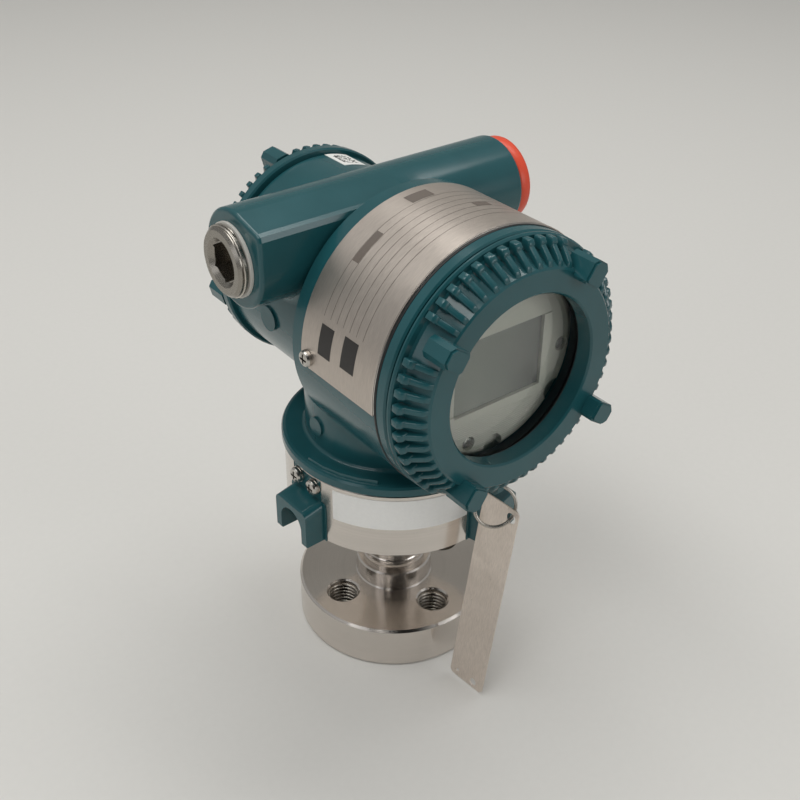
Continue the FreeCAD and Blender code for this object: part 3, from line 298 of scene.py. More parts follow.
def polyurethane_enamel():
    """Two-coat enamel over a shot-blasted casting: glossy, with a faint unevenness that softens
    every highlight and a slightly deeper tone where the coat is thick."""
    finishes, sizes = settings()
    material, tree, place, shader = start_material(ENAMEL)
    tone = add_node(
        tree,
        "ShaderNodeTexNoise",
        {"Vector": (place, "Object"), "Scale": 55.0, "Detail": 3.0, "Roughness": 0.55},
    )
    base = tuple(finishes.enamel)
    stops = ((0.3, shade(base, 0.86)), (0.7, base))
    ramp = add_node(tree, "ShaderNodeValToRGB", {"Fac": (tone, "Fac")}, stops)
    wire(tree, ramp, "Color", shader, "Base Color")
    grain = add_node(
        tree,
        "ShaderNodeTexNoise",
        {
            "Vector": (place, "Object"),
            "Scale": 1.0 / sizes.enamel_grain,
            "Detail": 2.0,
            "Roughness": 0.45,
        },
    )
    bump = add_node(
        tree, "ShaderNodeBump", {"Height": (grain, "Fac"), "Strength": 0.12, "Distance": 0.12 * MM}
    )
    wire(tree, bump, "Normal", shader, "Normal")
    gloss = add_node(
        tree, "ShaderNodeMapRange", {"Value": (tone, "Fac"), "To Min": 0.17, "To Max": 0.25}
    )
    wire(tree, gloss, "Result", shader, "Roughness")
    shader.inputs["IOR"].default_value = 1.5
    return material


def turned_steel():
    """Stainless steel off the lathe: fine rings about the Z axis that spread every highlight
    into a fan on flat faces and into bright and dark bands on round ones."""
    finishes, sizes = settings()
    material, tree, place, shader = start_material("turned_stainless_steel")
    split = add_node(tree, "ShaderNodeSeparateXYZ", {"Vector": (place, "Object")})
    square = add_node(
        tree, "ShaderNodeMath", {0: (split, "X"), 1: (split, "X")}, operation="MULTIPLY"
    )
    total = add_node(
        tree,
        "ShaderNodeMath",
        {0: (split, "Y"), 1: (split, "Y"), 2: (square, "Value")},
        operation="MULTIPLY_ADD",
    )
    radius = add_node(tree, "ShaderNodeMath", {0: (total, "Value")}, operation="SQRT")
    rings = add_node(tree, "ShaderNodeCombineXYZ", {"X": (radius, "Value"), "Y": (split, "Z")})
    streak = add_node(
        tree,
        "ShaderNodeTexNoise",
        {
            "Vector": (rings, "Vector"),
            "Scale": 1.0 / sizes.lathe_pitch,
            "Detail": 3.0,
            "Roughness": 0.6,
        },
    )
    stain = add_node(
        tree,
        "ShaderNodeTexNoise",
        {"Vector": (place, "Object"), "Scale": 70.0, "Detail": 5.0, "Roughness": 0.6},
    )
    both = add_node(
        tree,
        "ShaderNodeMath",
        {0: (stain, "Fac"), 1: 0.35, 2: (streak, "Fac")},
        operation="MULTIPLY_ADD",
    )
    base = tuple(finishes.steel)
    stops = ((0.45, shade(base, 0.9)), (0.9, shade(base, 1.04)))
    ramp = add_node(tree, "ShaderNodeValToRGB", {"Fac": (both, "Value")}, stops)
    wire(tree, ramp, "Color", shader, "Base Color")
    gloss = add_node(
        tree, "ShaderNodeMapRange", {"Value": (streak, "Fac"), "To Min": 0.17, "To Max": 0.22}
    )
    wire(tree, gloss, "Result", shader, "Roughness")
    bump = add_node(
        tree, "ShaderNodeBump", {"Height": (streak, "Fac"), "Strength": 0.1, "Distance": 0.02 * MM}
    )
    wire(tree, bump, "Normal", shader, "Normal")
    lay = add_node(tree, "ShaderNodeTangent", direction_type="RADIAL", axis="Z")
    wire(tree, lay, "Tangent", shader, "Tangent")
    shader.inputs["Anisotropic"].default_value = 0.85
    shader.inputs["Anisotropic Rotation"].default_value = 0.25
    shader.inputs["Metallic"].default_value = 1.0
    return material


def plain_steel(name, code, roughness, grain=0.25):
    """Drawn or rolled stainless steel with fine random scuffs."""
    material, tree, place, shader = start_material(name)
    scuff = add_node(
        tree,
        "ShaderNodeTexNoise",
        {"Vector": (place, "Object"), "Scale": 1.0 / (grain * MM), "Detail": 3.0, "Roughness": 0.6},
    )
    base = linear(code)
    stops = ((0.3, shade(base, 0.82)), (0.7, base))
    ramp = add_node(tree, "ShaderNodeValToRGB", {"Fac": (scuff, "Fac")}, stops)
    wire(tree, ramp, "Color", shader, "Base Color")
    gloss = add_node(
        tree,
        "ShaderNodeMapRange",
        {"Value": (scuff, "Fac"), "To Min": roughness - 0.06, "To Max": roughness + 0.08},
    )
    wire(tree, gloss, "Result", shader, "Roughness")
    bump = add_node(
        tree, "ShaderNodeBump", {"Height": (scuff, "Fac"), "Strength": 0.1, "Distance": 0.02 * MM}
    )
    wire(tree, bump, "Normal", shader, "Normal")
    shader.inputs["Metallic"].default_value = 1.0
    return material


def brushed_sheet(name, stretch, roughness=0.38, brightness=1.0, buckle=0.0):
    """Rolled stainless sheet with a brushed grain that runs one way, and buckled by so many
    millimetres where it hangs free."""
    finishes, _ = settings()
    material, tree, place, shader = start_material(name)
    lay = add_node(tree, "ShaderNodeMapping", {"Vector": (place, "Object"), "Scale": stretch})
    grain = add_node(
        tree,
        "ShaderNodeTexNoise",
        {"Vector": (lay, "Vector"), "Scale": 1.0, "Detail": 4.0, "Roughness": 0.6},
    )
    base = shade(tuple(finishes.sheet_steel), brightness)
    stops = ((0.3, shade(base, 0.86)), (0.7, shade(base, 1.06)))
    ramp = add_node(tree, "ShaderNodeValToRGB", {"Fac": (grain, "Fac")}, stops)
    wire(tree, ramp, "Color", shader, "Base Color")
    gloss = add_node(
        tree,
        "ShaderNodeMapRange",
        {"Value": (grain, "Fac"), "To Min": roughness - 0.08, "To Max": roughness + 0.1},
    )
    wire(tree, gloss, "Result", shader, "Roughness")
    bump = add_node(
        tree, "ShaderNodeBump", {"Height": (grain, "Fac"), "Strength": 0.12, "Distance": 0.02 * MM}
    )
    if buckle:
        waves = add_node(
            tree,
            "ShaderNodeTexNoise",
            {"Vector": (place, "Object"), "Scale": 55.0, "Detail": 1.5, "Roughness": 0.5},
        )
        bump = add_node(
            tree,
            "ShaderNodeBump",
            {
                "Height": (waves, "Fac"),
                "Normal": (bump, "Normal"),
                "Strength": 1.0,
                "Distance": buckle * MM,
            },
        )
    wire(tree, bump, "Normal", shader, "Normal")
    shader.inputs["Metallic"].default_value = 0.9
    return material


def moulded(name, base, roughness, grain=0.6, specular=0.5, variation=0.93):
    """Moulded plastic, rubber or vinyl: an even colour with the mould's fine texture."""
    material, tree, place, shader = start_material(name)
    texture = add_node(
        tree,
        "ShaderNodeTexNoise",
        {"Vector": (place, "Object"), "Scale": 1.0 / (grain * MM), "Detail": 2.0, "Roughness": 0.5},
    )
    stops = ((0.3, shade(base, variation)), (0.7, base))
    ramp = add_node(tree, "ShaderNodeValToRGB", {"Fac": (texture, "Fac")}, stops)
    wire(tree, ramp, "Color", shader, "Base Color")
    gloss = add_node(
        tree,
        "ShaderNodeMapRange",
        {"Value": (texture, "Fac"), "To Min": roughness - 0.05, "To Max": roughness + 0.05},
    )
    wire(tree, gloss, "Result", shader, "Roughness")
    bump = add_node(
        tree, "ShaderNodeBump", {"Height": (texture, "Fac"), "Strength": 0.2, "Distance": 0.03 * MM}
    )
    wire(tree, bump, "Normal", shader, "Normal")
    shader.inputs["Specular IOR Level"].default_value = specular
    return material


def toughened_glass():
    """Clear window glass with a faint haze of handling marks, which lets the light through
    to the display."""
    material, tree, place, shader = start_material("toughened_glass")
    haze = add_node(
        tree,
        "ShaderNodeTexNoise",
        {"Vector": (place, "Object"), "Scale": 90.0, "Detail": 4.0, "Roughness": 0.6},
    )
    stops = ((0.3, linear("#eff6f4")), (0.7, linear("#fbfdfc")))
    ramp = add_node(tree, "ShaderNodeValToRGB", {"Fac": (haze, "Fac")}, stops)
    wire(tree, ramp, "Color", shader, "Base Color")
    rays = add_node(tree, "ShaderNodeLightPath")
    solid = add_node(
        tree,
        "ShaderNodeMapRange",
        {"Value": (rays, "Is Shadow Ray"), "To Min": 1.0, "To Max": 0.08},
    )
    wire(tree, solid, "Result", shader, "Alpha")
    shader.inputs["Roughness"].default_value = 0.0
    shader.inputs["Transmission Weight"].default_value = 1.0
    shader.inputs["IOR"].default_value = 1.47
    return material


def liquid_crystal():
    """Unpowered reflective display: dull grey, with painted shade that darkens it and makes it less
    green towards +X, where the cover's shadow falls.
    """
    material, tree, place, shader = start_material("liquid_crystal")
    split = add_node(tree, "ShaderNodeSeparateXYZ", {"Vector": (place, "Object")})
    side = add_node(
        tree,
        "ShaderNodeMapRange",
        {"Value": (split, "X"), "From Min": -PANEL_HALF, "From Max": PANEL_HALF},
    )
    # Painted shade: pale at -X, darker towards +X, standing in for the cover's shadow on the panel
    stops = ((0.25, linear("#75786f")), (0.85, linear("#565752")))
    ramp = add_node(tree, "ShaderNodeValToRGB", {"Fac": (side, "Result")}, stops)
    wire(tree, ramp, "Color", shader, "Base Color")
    shader.inputs["Roughness"].default_value = 0.18
    return material


def ruled_polycarbonate():
    """The display's pale moulded front, with fine moulded lines across its lower part."""
    finishes, _ = settings()
    base = tuple(finishes.bezel)
    material = moulded("moulded_polycarbonate", base, 0.42, grain=0.5, variation=0.95)
    tree = material.node_tree
    place = next(node for node in tree.nodes if node.bl_idname == "ShaderNodeTexCoord")
    shader = next(node for node in tree.nodes if node.bl_idname == "ShaderNodeBsdfPrincipled")
    lines = add_node(
        tree,
        "ShaderNodeTexWave",
        {"Vector": (place, "Object"), "Scale": BAND_PERIOD / LINES_PITCH},
        wave_type="BANDS",
        bands_direction="Z",
    )
    split = add_node(tree, "ShaderNodeSeparateXYZ", {"Vector": (place, "Object")})
    lower = add_node(
        tree, "ShaderNodeMath", {0: (split, "Z"), 1: LINES_TOP}, operation="LESS_THAN"
    )
    height = add_node(
        tree, "ShaderNodeMath", {0: (lines, "Fac"), 1: (lower, "Value")}, operation="MULTIPLY"
    )
    bump = add_node(
        tree,
        "ShaderNodeBump",
        {"Height": (height, "Value"), "Strength": 0.8, "Distance": 0.12 * MM},
    )
    wire(tree, bump, "Normal", shader, "Normal")
    return material


def code_vinyl():
    """A white vinyl square printed with a plain random mosaic."""
    material, tree, place, shader = start_material("mosaic_vinyl")
    cells = add_node(
        tree,
        "ShaderNodeVectorMath",
        {0: (place, "Object"), 1: (MOSAIC_CELL, MOSAIC_CELL, 1.0)},
        operation="SNAP",
    )
    noise = add_node(tree, "ShaderNodeTexWhiteNoise", {"Vector": (cells, "Vector")})
    split = add_node(tree, "ShaderNodeSeparateXYZ", {"Vector": (place, "Object")})
    masks = []
    for axis, middle, half in MOSAIC_PRINT:
        away = add_node(tree, "ShaderNodeMath", {0: (split, axis), 1: middle}, operation="SUBTRACT")
        far = add_node(tree, "ShaderNodeMath", {0: (away, "Value")}, operation="ABSOLUTE")
        near = add_node(tree, "ShaderNodeMath", {0: (far, "Value"), 1: half}, operation="LESS_THAN")
        masks.append((near, "Value"))
    inside = add_node(tree, "ShaderNodeMath", dict(enumerate(masks)), operation="MULTIPLY")
    printed = add_node(
        tree, "ShaderNodeMath", {0: (noise, "Value"), 1: 0.5}, operation="GREATER_THAN"
    )
    ink = add_node(
        tree, "ShaderNodeMath", {0: (printed, "Value"), 1: (inside, "Value")}, operation="MULTIPLY"
    )
    stops = ((0.4, linear("#e6e5e1")), (0.6, linear("#17181a")))
    ramp = add_node(tree, "ShaderNodeValToRGB", {"Fac": (ink, "Value")}, stops)
    wire(tree, ramp, "Color", shader, "Base Color")
    shader.inputs["Roughness"].default_value = 0.45
    return material


# ---------------------------------------------------------------------------------
# Helpers for pieces
# ---------------------------------------------------------------------------------


def dress(names, material):
    """Give CAD nodes a material."""
    for name in names:
        mesh = NODES[name].data
        mesh.materials.clear()
        mesh.materials.append(material)


def finish_piece(name, build, body, material, smooth=True):
    """Turn a bmesh into a piece that rides on a CAD body."""
    mesh = bpy.data.meshes.new(name)
    build.to_mesh(mesh)
    build.free()
    for polygon in mesh.polygons:
        polygon.use_smooth = smooth
    mesh.materials.append(material)
    piece = bpy.data.objects.new(name, mesh)
    bpy.context.scene.collection.objects.link(piece)
    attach(piece, body)
    return piece


def add_thread(build, centre, axis, root, crest, pitch, turns):
    """A V-shaped ridge wound about an axis, from its root radius to its crest radius."""
    axis = Vector(axis)
    out = axis.orthogonal().normalized()
    # Half the ridge's width at the wall and at its top, as shares of the pitch
    foot, top = 0.42, 0.06
    profile = [
        centre + out * root - axis * foot * pitch,
        centre + out * crest - axis * top * pitch,
        centre + out * crest + axis * top * pitch,
        centre + out * root + axis * foot * pitch,
    ]
    verts = [build.verts.new(place) for place in profile]
    face = build.faces.new(verts)
    bmesh.ops.spin(
        build,
        geom=[face, *face.edges, *face.verts],
        cent=centre,
        axis=axis,
        dvec=axis * (pitch / THREAD_STEPS),
        angle=math.tau * turns,
        steps=int(turns * THREAD_STEPS),
    )


def add_strip(build, radius, start, end, front, rear, drop=0.0):
    """A strip on the round name plate, between two angles in degrees and two stations in
    millimetres; its front lies lower by the drop."""
    first = Vector((radius - drop, front * MM, AXIS_HEIGHT))
    verts = [
        build.verts.new(first),
        build.verts.new(first + Vector((drop, (rear - front) * MM, 0.0))),
    ]
    turn = Matrix.Rotation(math.radians(-start), 3, "Y")
    bmesh.ops.rotate(build, verts=verts, cent=AXIS, matrix=turn)
    edge = build.edges.new(verts)
    # One part for every two degrees
    bmesh.ops.spin(
        build,
        geom=[*verts, edge],
        cent=AXIS,
        axis=(0, -1, 0),
        angle=math.radians(end - start),
        steps=max(1, int((end - start) / 2.0)),
    )
    for face in build.faces:
        face.normal_update()
        middle = face.calc_center_median() - AXIS
        middle.y = 0.0
        if face.normal.dot(middle) < 0:
            face.normal_flip()


def add_turned(build, outline, centre, axis, side):
    """A closed outline of radii and stations in millimetres, turned about a line along X or Y."""
    along = Vector((side, 0, 0)) if axis == "X" else Vector((0, side, 0))
    places = [
        centre + along * station * MM + Vector((0, 0, radius * MM)) for radius, station in outline
    ]
    verts = [build.verts.new(place) for place in places]
    closed = outline[0][0] > 0
    pairs = list(zip(verts, verts[1:])) + ([(verts[-1], verts[0])] if closed else [])
    edges = [build.edges.new(pair) for pair in pairs]
    bmesh.ops.spin(
        build,
        geom=[*verts, *edges],
        cent=centre,
        axis=along,
        angle=math.tau,
        steps=96,
        use_merge=True,
    )
    bmesh.ops.remove_doubles(build, verts=build.verts, dist=0.001 * MM)
    bmesh.ops.recalc_face_normals(build, faces=build.faces)


def tube_share(across):
    """How far the tube is rounded at this station, from 0, as cast, to 1, fully round."""
    return min(1.0, max(0.0, (across - TUBE_BLEND[0]) / (TUBE_BLEND[1] - TUBE_BLEND[0])))


def tube_normal(place, flat):
    """Normal of the rounded right half of the conduit tube and of its filleted end."""
    if flat.x > 0.98:
        return flat
    past = min(1.0, max(0.0, place.x - (TUBE_REACH - TUBE_EDGE)) / TUBE_EDGE)
    outward = Vector((0.0, place.y - CONDUIT.y, place.z - CONDUIT.z)).normalized()
    swept = Vector((past, 0.0, 0.0)) + math.sqrt(1.0 - past * past) * outward
    return flat.lerp(swept, tube_share(place.x)).normalized()


def keep_normals(source, target, fallback):
    """Give a changed copy of a CAD mesh the original's smooth normals where they still hold."""
    tree = KDTree(len(source.loops))
    flats = {}
    for polygon in source.polygons:
        for index in polygon.loop_indices:
            tree.insert(source.vertices[source.loops[index].vertex_index].co, index)
            flats[index] = polygon.normal.copy()
    tree.balance()
    normals = []
    for polygon in target.polygons:
        flat = polygon.normal
        for index in polygon.loop_indices:
            place = target.vertices[target.loops[index].vertex_index].co
            near = tree.find_range(place, 0.004 * MM)
            # The corner of the original whose face lies nearest to this one's
            match, found = max(
                [(flats[corner].dot(flat), corner) for _, corner, _ in near], default=(-1.0, 0)
            )
            if match > 0.999:
                normals.append(source.corner_normals[found].vector.copy())
            else:
                normals.append(fallback(place, flat))
    target.normals_split_custom_set(normals)


def add_rib(build, outline, width, side):
    """One ridge on a cover's bevel, with every edge rounded; its outline lies in the XY plane."""
    half = Vector((0.0, 0.0, 0.5 * width))
    verts = [
        build.verts.new(AXIS - half + Vector((radius * MM, side * station * MM, 0.0)))
        for radius, station in outline
    ]
    face = build.faces.new(verts)
    grown = bmesh.ops.extrude_face_region(build, geom=[face])["geom"]
    raised = [item for item in grown if isinstance(item, bmesh.types.BMVert)]
    bmesh.ops.translate(build, verts=raised, vec=2 * half)
    body = {*verts, *raised}
    faces = [each for each in build.faces if all(vert in body for vert in each.verts)]
    bmesh.ops.recalc_face_normals(build, faces=faces)
    edges = [each for each in build.edges if all(vert in body for vert in each.verts)]
    bmesh.ops.bevel(
        build, geom=edges, offset=RIB_EDGE, segments=2, profile=0.5, affect="EDGES", material=-1
    )


def repeat_ribs(build, lug):
    """Twelve ribs between two lugs, four times round the housing's axis."""
    first = [*build.verts, *build.edges, *build.faces]
    for quarter in range(4):
        for index in range(RIBS_IN_A_QUARTER):
            angle = lug + 90.0 * quarter + RIB_FIRST + RIB_PITCH * index
            turn = Matrix.Rotation(math.radians(-angle), 3, "Y")
            copy = bmesh.ops.duplicate(build, geom=first)["geom"]
            moved = [item for item in copy if isinstance(item, bmesh.types.BMVert)]
            bmesh.ops.rotate(build, verts=moved, cent=AXIS, matrix=turn)
    pattern = [item for item in first if isinstance(item, bmesh.types.BMVert)]
    bmesh.ops.delete(build, geom=pattern, context="VERTS")


# ---------------------------------------------------------------------------------
# Operators
# ---------------------------------------------------------------------------------


class TRANSMITTER_OT_stage(bpy.types.Operator):
    """Lay the floor, hang the lamps and set the camera"""

    bl_idname = "transmitter.stage"
    bl_label = "Stage"

    def execute(self, context):
        scene = context.scene
        scene.view_settings.view_transform = "Standard"
        self.lay_floor(scene)
        self.hang_lamps(scene)
        self.light_room(scene)
        self.set_camera(scene)
        return {"FINISHED"}

    def lay_floor(self, scene):
        """A pale card that curves up into a wall behind the object."""
        finishes, _ = settings()
        build = bmesh.new()
        bmesh.ops.create_grid(build, x_segments=1, y_segments=1, size=FLOOR_HALF)
        back = FLOOR_HALF - 0.2
        edge = [e for e in build.edges if all(v.co.y > back for v in e.verts)]
        raised = bmesh.ops.extrude_edge_only(build, edges=edge)["geom"]
        for vertex in raised:
            if isinstance(vertex, bmesh.types.BMVert):
                vertex.co.z += WALL_HEIGHT
        corner = [e for e in build.edges if all(v.co.y > back and v.co.z < 0.01 for v in e.verts)]
        bmesh.ops.bevel(
            build, geom=corner, offset=COVE, segments=24, profile=0.5, affect="EDGES", material=-1
        )
        turn = Matrix.Rotation(math.radians(WALL_TURN), 3, "Z")
        bmesh.ops.rotate(build, verts=build.verts, cent=(0, 0, 0), matrix=turn)
        mesh = bpy.data.meshes.new("floor")
        build.to_mesh(mesh)
        build.free()
        for polygon in mesh.polygons:
            polygon.use_smooth = True
        floor = bpy.data.objects.new("floor", mesh)
        scene.collection.objects.link(floor)
        card = moulded(
            "matt_card", tuple(finishes.floor), 0.75, grain=3.0, specular=0.2, variation=0.985
        )
        mesh.materials.append(card)

    def hang_lamps(self, scene):
        """Two long panels overhead and two soft boxes at the sides."""
        for name, place, aim, size, watts, tint in LAMPS:
            light = bpy.data.lights.new(name, "AREA")
            light.shape = "RECTANGLE"
            light.size, light.size_y = size
            light.energy = watts
            light.color = linear(tint)
            lamp = bpy.data.objects.new(name, light)
            scene.collection.objects.link(lamp)
            lamp.location = place
            direction = Vector(aim) - Vector(place)
            lamp.rotation_euler = direction.to_track_quat("-Z", "Y").to_euler()

    def light_room(self, scene):
        """An even pale room, with a black flag in it that only reflections show."""
        world = bpy.data.worlds.new("studio")
        world.use_nodes = True
        tree = world.node_tree
        background = tree.nodes["Background"]
        background.inputs["Color"].default_value = (*linear("#f1f2f1"), 1.0)
        # The flag gives turned steel its dark sectors
        towards = add_node(tree, "ShaderNodeTexCoord")
        facing = add_node(
            tree,
            "ShaderNodeVectorMath",
            {0: (towards, "Generated"), 1: FLAG_SIDE},
            operation="DOT_PRODUCT",
        )
        start, end = FLAG_EDGE
        flag = add_node(
            tree,
            "ShaderNodeMapRange",
            {"Value": (facing, "Value"), "From Min": start, "From Max": end},
        )
        rays = add_node(tree, "ShaderNodeLightPath")
        seen = add_node(
            tree,
            "ShaderNodeMath",
            {0: (flag, "Result"), 1: (rays, "Is Glossy Ray")},
            operation="MULTIPLY",
        )
        level = add_node(
            tree,
            "ShaderNodeMapRange",
            {"Value": (seen, "Value"), "To Min": ROOM_LIGHT, "To Max": 0.0},
        )
        # The room shows as pale as the floor behind the object, and lights it no more for that
        room = add_node(
            tree,
            "ShaderNodeMath",
            {0: (rays, "Is Camera Ray"), 1: ROOM_SHOWN, 2: (level, "Result")},
            operation="MULTIPLY_ADD",
        )
        wire(tree, room, "Value", background, "Strength")
        scene.world = world

    def set_camera(self, scene):
        """The camera, above the object and to the left of the way that the display faces."""
        lens = bpy.data.cameras.new("camera")
        lens.sensor_width = 36.0
        lens.lens = CAMERA_LENS
        lens.clip_start = 0.01
        camera = bpy.data.objects.new("camera", lens)
        scene.collection.objects.link(camera)
        turn = Matrix((CAMERA_RIGHT, CAMERA_UP, CAMERA_BACK)).transposed()
        turn = turn.to_quaternion().to_matrix().to_4x4()
        camera.matrix_world = Matrix.Translation(CAMERA_PLACE) @ turn
        scene.camera = camera


class TRANSMITTER_OT_cad_finishes(bpy.types.Operator):
    """Give every CAD node the finish of its real material"""

    bl_idname = "transmitter.cad_finishes"
    bl_label = "Finishes"

    def execute(self, context):
        finishes, _ = settings()
        enamel = polyurethane_enamel()
        dress(["housing", "front_cover", "rear_cover", "left_saddle", "right_saddle"], enamel)
        dress(["process_flange", "sensor_neck", "sensor_body"], turned_steel())
        dress(["conduit_plug"], plain_steel("machined_stainless_steel", "#9c978f", 0.26))
        screws = [name for name in NODES if "_screw" in name or "_washer" in name]
        dress(screws, plain_steel("bright_stainless_steel", "#c9c5bf", 0.22))
        dress(["tag_ring"], plain_steel("spring_steel_wire", "#b9b4ac", 0.25))
        # The grain is fine across the brushing and long along it
        dress(["name_plate"], brushed_sheet("brushed_name_plate", (300.0, 4000.0, 300.0)))
        tag = brushed_sheet(
            "brushed_tag", (2500.0, 2500.0, 200.0), roughness=0.3, brightness=1.3, buckle=2.2
        )
        dress(["tag_plate"], tag)
        dress(["sensor_capsule"], plain_steel("capsule_steel", "#99938b", 0.4))
        dress(["window_glass"], toughened_glass())
        seals = ["window_gasket", "front_cover_oring", "rear_cover_oring", "body_oring"]
        dress(seals, moulded("nitrile_rubber", linear("#17181a"), 0.55, grain=0.4))
        retainer = moulded("black_anodised_aluminium", linear("#1b1c1e"), 0.4, grain=0.3)
        dress(["glass_retainer"], retainer)
        dress(["display_bezel"], ruled_polycarbonate())
        dress(["lcd_panel"], liquid_crystal())
        dress(["display_board"], moulded("glass_epoxy_board", linear("#1f4d2c"), 0.4))
        dress(["electronics_module"], moulded("potting_resin", linear("#26282a"), 0.4))
        dress(["terminal_block"], moulded("phenolic_moulding", linear("#1d1d1f"), 0.4))
        dress(["plug_seal_ring"], moulded("white_ptfe", linear("#dcd9d2"), 0.5))
        dress(["code_sticker"], code_vinyl())
        strip = moulded("vinyl_sticker", tuple(finishes.sticker), 0.5, grain=1.2, variation=0.97)
        dress(["tag_label"], strip)
        return {"FINISHED"}


class TRANSMITTER_OT_threads(bpy.types.Operator):
    """Cut the look of threads into the flange's bolt holes and round the plug"""

    bl_idname = "transmitter.threads"
    bl_label = "Threads"

    def execute(self, context):
        steel = plain_steel("tapped_stainless_steel", "#c9c3ba", 0.24)
        build = bmesh.new()
        for quarter in range(4):
            turn = Matrix.Rotation(math.radians(90 * quarter), 3, "Z")
            foot = turn @ Vector((BOLT_CIRCLE, 0.0, BOLT_THREAD_FOOT))
            add_thread(build, foot, (0, 0, 1), **BOLT_THREAD)
        bmesh.ops.recalc_face_normals(build, faces=build.faces)
        finish_piece("bolt_hole_threads", build, BASE, steel)
        build = bmesh.new()
        low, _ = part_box("conduit_plug")
        start = Vector((low[0] + PLUG_THREAD_START, CONDUIT.y, CONDUIT.z))
        add_thread(build, start, (1, 0, 0), **PLUG_THREAD)
        bmesh.ops.recalc_face_normals(build, faces=build.faces)
        finish_piece("plug_thread", build, "conduit_plug", steel)
        return {"FINISHED"}


class TRANSMITTER_OT_plate_print(bpy.types.Operator):
    """Etch the name plate's rules and its blank field marks, and line its front edge with a sloped
    strip painted bright as a highlight
    """

    bl_idname = "transmitter.plate_print"
    bl_label = "Plate print"

    def execute(self, context):
        black = moulded("etched_black_ink", linear("#2b2826"), 0.5, grain=0.3, variation=0.7)
        brown = moulded("etched_brown_field", linear("#6a6058"), 0.5, grain=0.3, variation=0.8)
        half = 0.5 * RULE_WIDTH
        rules = [(*RULE_ENDS, -row - half, -row + half) for row in PLATE_RULES]
        marks = (
            ("name_plate_rules", brown, rules),
            ("name_plate_black_fields", black, BLACK_FIELDS),
            ("name_plate_brown_fields", brown, BROWN_FIELDS),
        )
        for name, ink, strips in marks:
            build = bmesh.new()
            for strip in strips:
                add_strip(build, PLATE_RADIUS + 0.03 * MM, *strip)
            finish_piece(name, build, BASE, ink)
        # Painted highlight: pale bright steel on a sloped strip along the plate's front edge
        edge = plain_steel("sheared_steel_edge", "#e6e2dc", 0.2)
        build = bmesh.new()
        add_strip(build, PLATE_RADIUS + 0.06 * MM, *PLATE_EDGE_HIGHLIGHT, drop=0.4 * MM)
        finish_piece("name_plate_front_edge", build, BASE, edge)
        return {"FINISHED"}


class TRANSMITTER_OT_front_seam(bpy.types.Operator):
    """Lay a black ring of painted shadow in the seam in front of the name plate"""

    bl_idname = "transmitter.front_seam"
    bl_label = "Front seam"

    def execute(self, context):
        # Painted shadow: a black ring that stands in for the shade in the seam
        build = bmesh.new()
        add_turned(build, SEAM_SHADOW_OUTLINE, AXIS, "Y", -1)
        seam = moulded("black_seal_paste", linear("#121314"), 0.5, grain=0.5)
        finish_piece("painted_front_seam_shadow", build, BASE, seam)
        return {"FINISHED"}


class TRANSMITTER_OT_grip_ribs(bpy.types.Operator):
    """Round the grip ribs of both covers, and raise a head on each front one"""

    bl_idname = "transmitter.grip_ribs"
    bl_label = "Grip ribs"

    def execute(self, context):
        enamel = bpy.data.materials[ENAMEL]
        covers = (
            # body, way it faces along Y, angle of its first lug, outlines and their widths
            ("front_cover", -1, 56.0, ((FRONT_RIDGE, 2.0), (FRONT_HEAD, 2.5))),
            ("rear_cover", 1, 15.0, ((REAR_RIDGE, 2.0),)),
        )
        for body, side, lug, shapes in covers:
            build = bmesh.new()
            for outline, width in shapes:
                add_rib(build, outline, width * MM, side)
            repeat_ribs(build, lug)
            finish_piece(f"{body}_grip_ribs", build, body, enamel)
        return {"FINISHED"}


class TRANSMITTER_OT_housing(bpy.types.Operator):
    """Round off the right half of the conduit tube, where the casting has no flat front"""

    bl_idname = "transmitter.housing"
    bl_label = "Housing"

    def execute(self, context):
        build = bmesh.new()
        build.from_mesh(NODES["housing"].data)
        bmesh.ops.remove_doubles(build, verts=build.verts, dist=0.002 * MM)

        def from_line(place):
            return Vector((place.y - CONDUIT.y, place.z - CONDUIT.z)).length

        def in_front(place):
            return place.z > CONDUIT.z - 1.0 * MM and -4.0 * MM < place.y < CONDUIT.y + 4.0 * MM

        def on_tube(face):
            outside = TUBE_RADIUS - TUBE_SKIN
            if max(vert.co.x for vert in face.verts) <= TUBE_BLEND[0]:
                return False
            return all(in_front(vert.co) and from_line(vert.co) > outside for vert in face.verts)

        cuts = [(Vector((station * MM, 0, 0)), Vector((1, 0, 0))) for station in TUBE_STATIONS]
        for degrees in TUBE_ANGLES:
            angle = math.radians(degrees)
            cuts.append((CONDUIT, Vector((0, -math.sin(angle), math.cos(angle)))))
        for place, normal in cuts:
            faces = [face for face in build.faces if on_tube(face)]
            near = {item for face in faces for item in (face, *face.edges, *face.verts)}
            bmesh.ops.bisect_plane(
                build, geom=list(near), plane_co=place, plane_no=normal, dist=0.001 * MM
            )
        for vert in build.verts:
            if vert.co.x < TUBE_BLEND[0] or not in_front(vert.co):
                continue
            past = max(0.0, vert.co.x - (TUBE_REACH - TUBE_EDGE))
            limit = TUBE_RADIUS - TUBE_EDGE + math.sqrt(max(0.0, TUBE_EDGE**2 - past**2))
            away = from_line(vert.co)
            if away > limit:
                scale = 1.0 + tube_share(vert.co.x) * (limit / away - 1.0)
                vert.co.y = CONDUIT.y + scale * (vert.co.y - CONDUIT.y)
                vert.co.z = CONDUIT.z + scale * (vert.co.z - CONDUIT.z)
        casting = finish_piece("cast_housing", build, BASE, bpy.data.materials[ENAMEL])
        keep_normals(NODES["housing"].data, casting.data, tube_normal)
        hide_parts("housing")
        return {"FINISHED"}


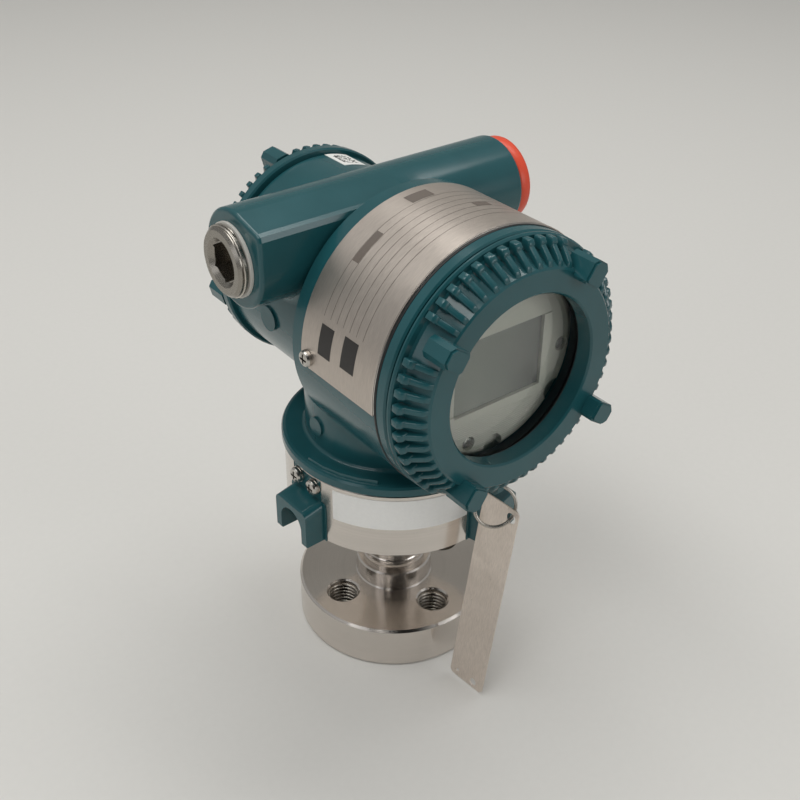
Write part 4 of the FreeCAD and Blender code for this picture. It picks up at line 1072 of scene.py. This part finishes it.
class TRANSMITTER_OT_entry_cap(bpy.types.Operator):
    """Turn the plastic cap that stands out from the right conduit entry"""

    bl_idname = "transmitter.entry_cap"
    bl_label = "Entry cap"

    def execute(self, context):
        finishes, _ = settings()
        plastic = moulded("polyethylene_cap", tuple(finishes.cap), 0.38, grain=0.8, variation=0.97)
        build = bmesh.new()
        add_turned(build, CAP_OUTLINE, Vector((0.0, CONDUIT.y, CONDUIT.z)), "X", 1)
        cap = finish_piece("entry_cap", build, "conduit_cap", plastic)
        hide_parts("conduit_cap")
        return {"FINISHED"}


class TRANSMITTER_PT_panel(bpy.types.Panel):
    """The transmitter's pieces, one button each"""

    bl_idname = "TRANSMITTER_PT_panel"
    bl_label = "Transmitter"
    bl_space_type = "VIEW_3D"
    bl_region_type = "UI"
    bl_category = "Transmitter"

    def draw(self, context):
        layout = self.layout
        for operator in OPERATORS:
            layout.operator(operator.bl_idname)
        for group in (context.scene.transmitter_finishes, context.scene.transmitter_sizes):
            for name in group.__annotations__:
                layout.prop(group, name)


OPERATORS = (
    TRANSMITTER_OT_stage,
    TRANSMITTER_OT_cad_finishes,
    TRANSMITTER_OT_threads,
    TRANSMITTER_OT_plate_print,
    TRANSMITTER_OT_front_seam,
    TRANSMITTER_OT_grip_ribs,
    TRANSMITTER_OT_entry_cap,
    TRANSMITTER_OT_housing,
)
CLASSES = (TransmitterFinishes, TransmitterSizes, *OPERATORS, TRANSMITTER_PT_panel)


def register():
    for each in CLASSES:
        bpy.utils.register_class(each)
    bpy.types.Scene.transmitter_finishes = PointerProperty(type=TransmitterFinishes)
    bpy.types.Scene.transmitter_sizes = PointerProperty(type=TransmitterSizes)


def unregister():
    del bpy.types.Scene.transmitter_sizes
    del bpy.types.Scene.transmitter_finishes
    for each in reversed(CLASSES):
        bpy.utils.unregister_class(each)


def main():
    """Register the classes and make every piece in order."""
    register()
    bpy.ops.transmitter.stage()
    bpy.ops.transmitter.cad_finishes()
    bpy.ops.transmitter.threads()
    bpy.ops.transmitter.plate_print()
    bpy.ops.transmitter.front_seam()
    bpy.ops.transmitter.grip_ribs()
    bpy.ops.transmitter.entry_cap()
    bpy.ops.transmitter.housing()


if __name__ == "__main__":
    main()
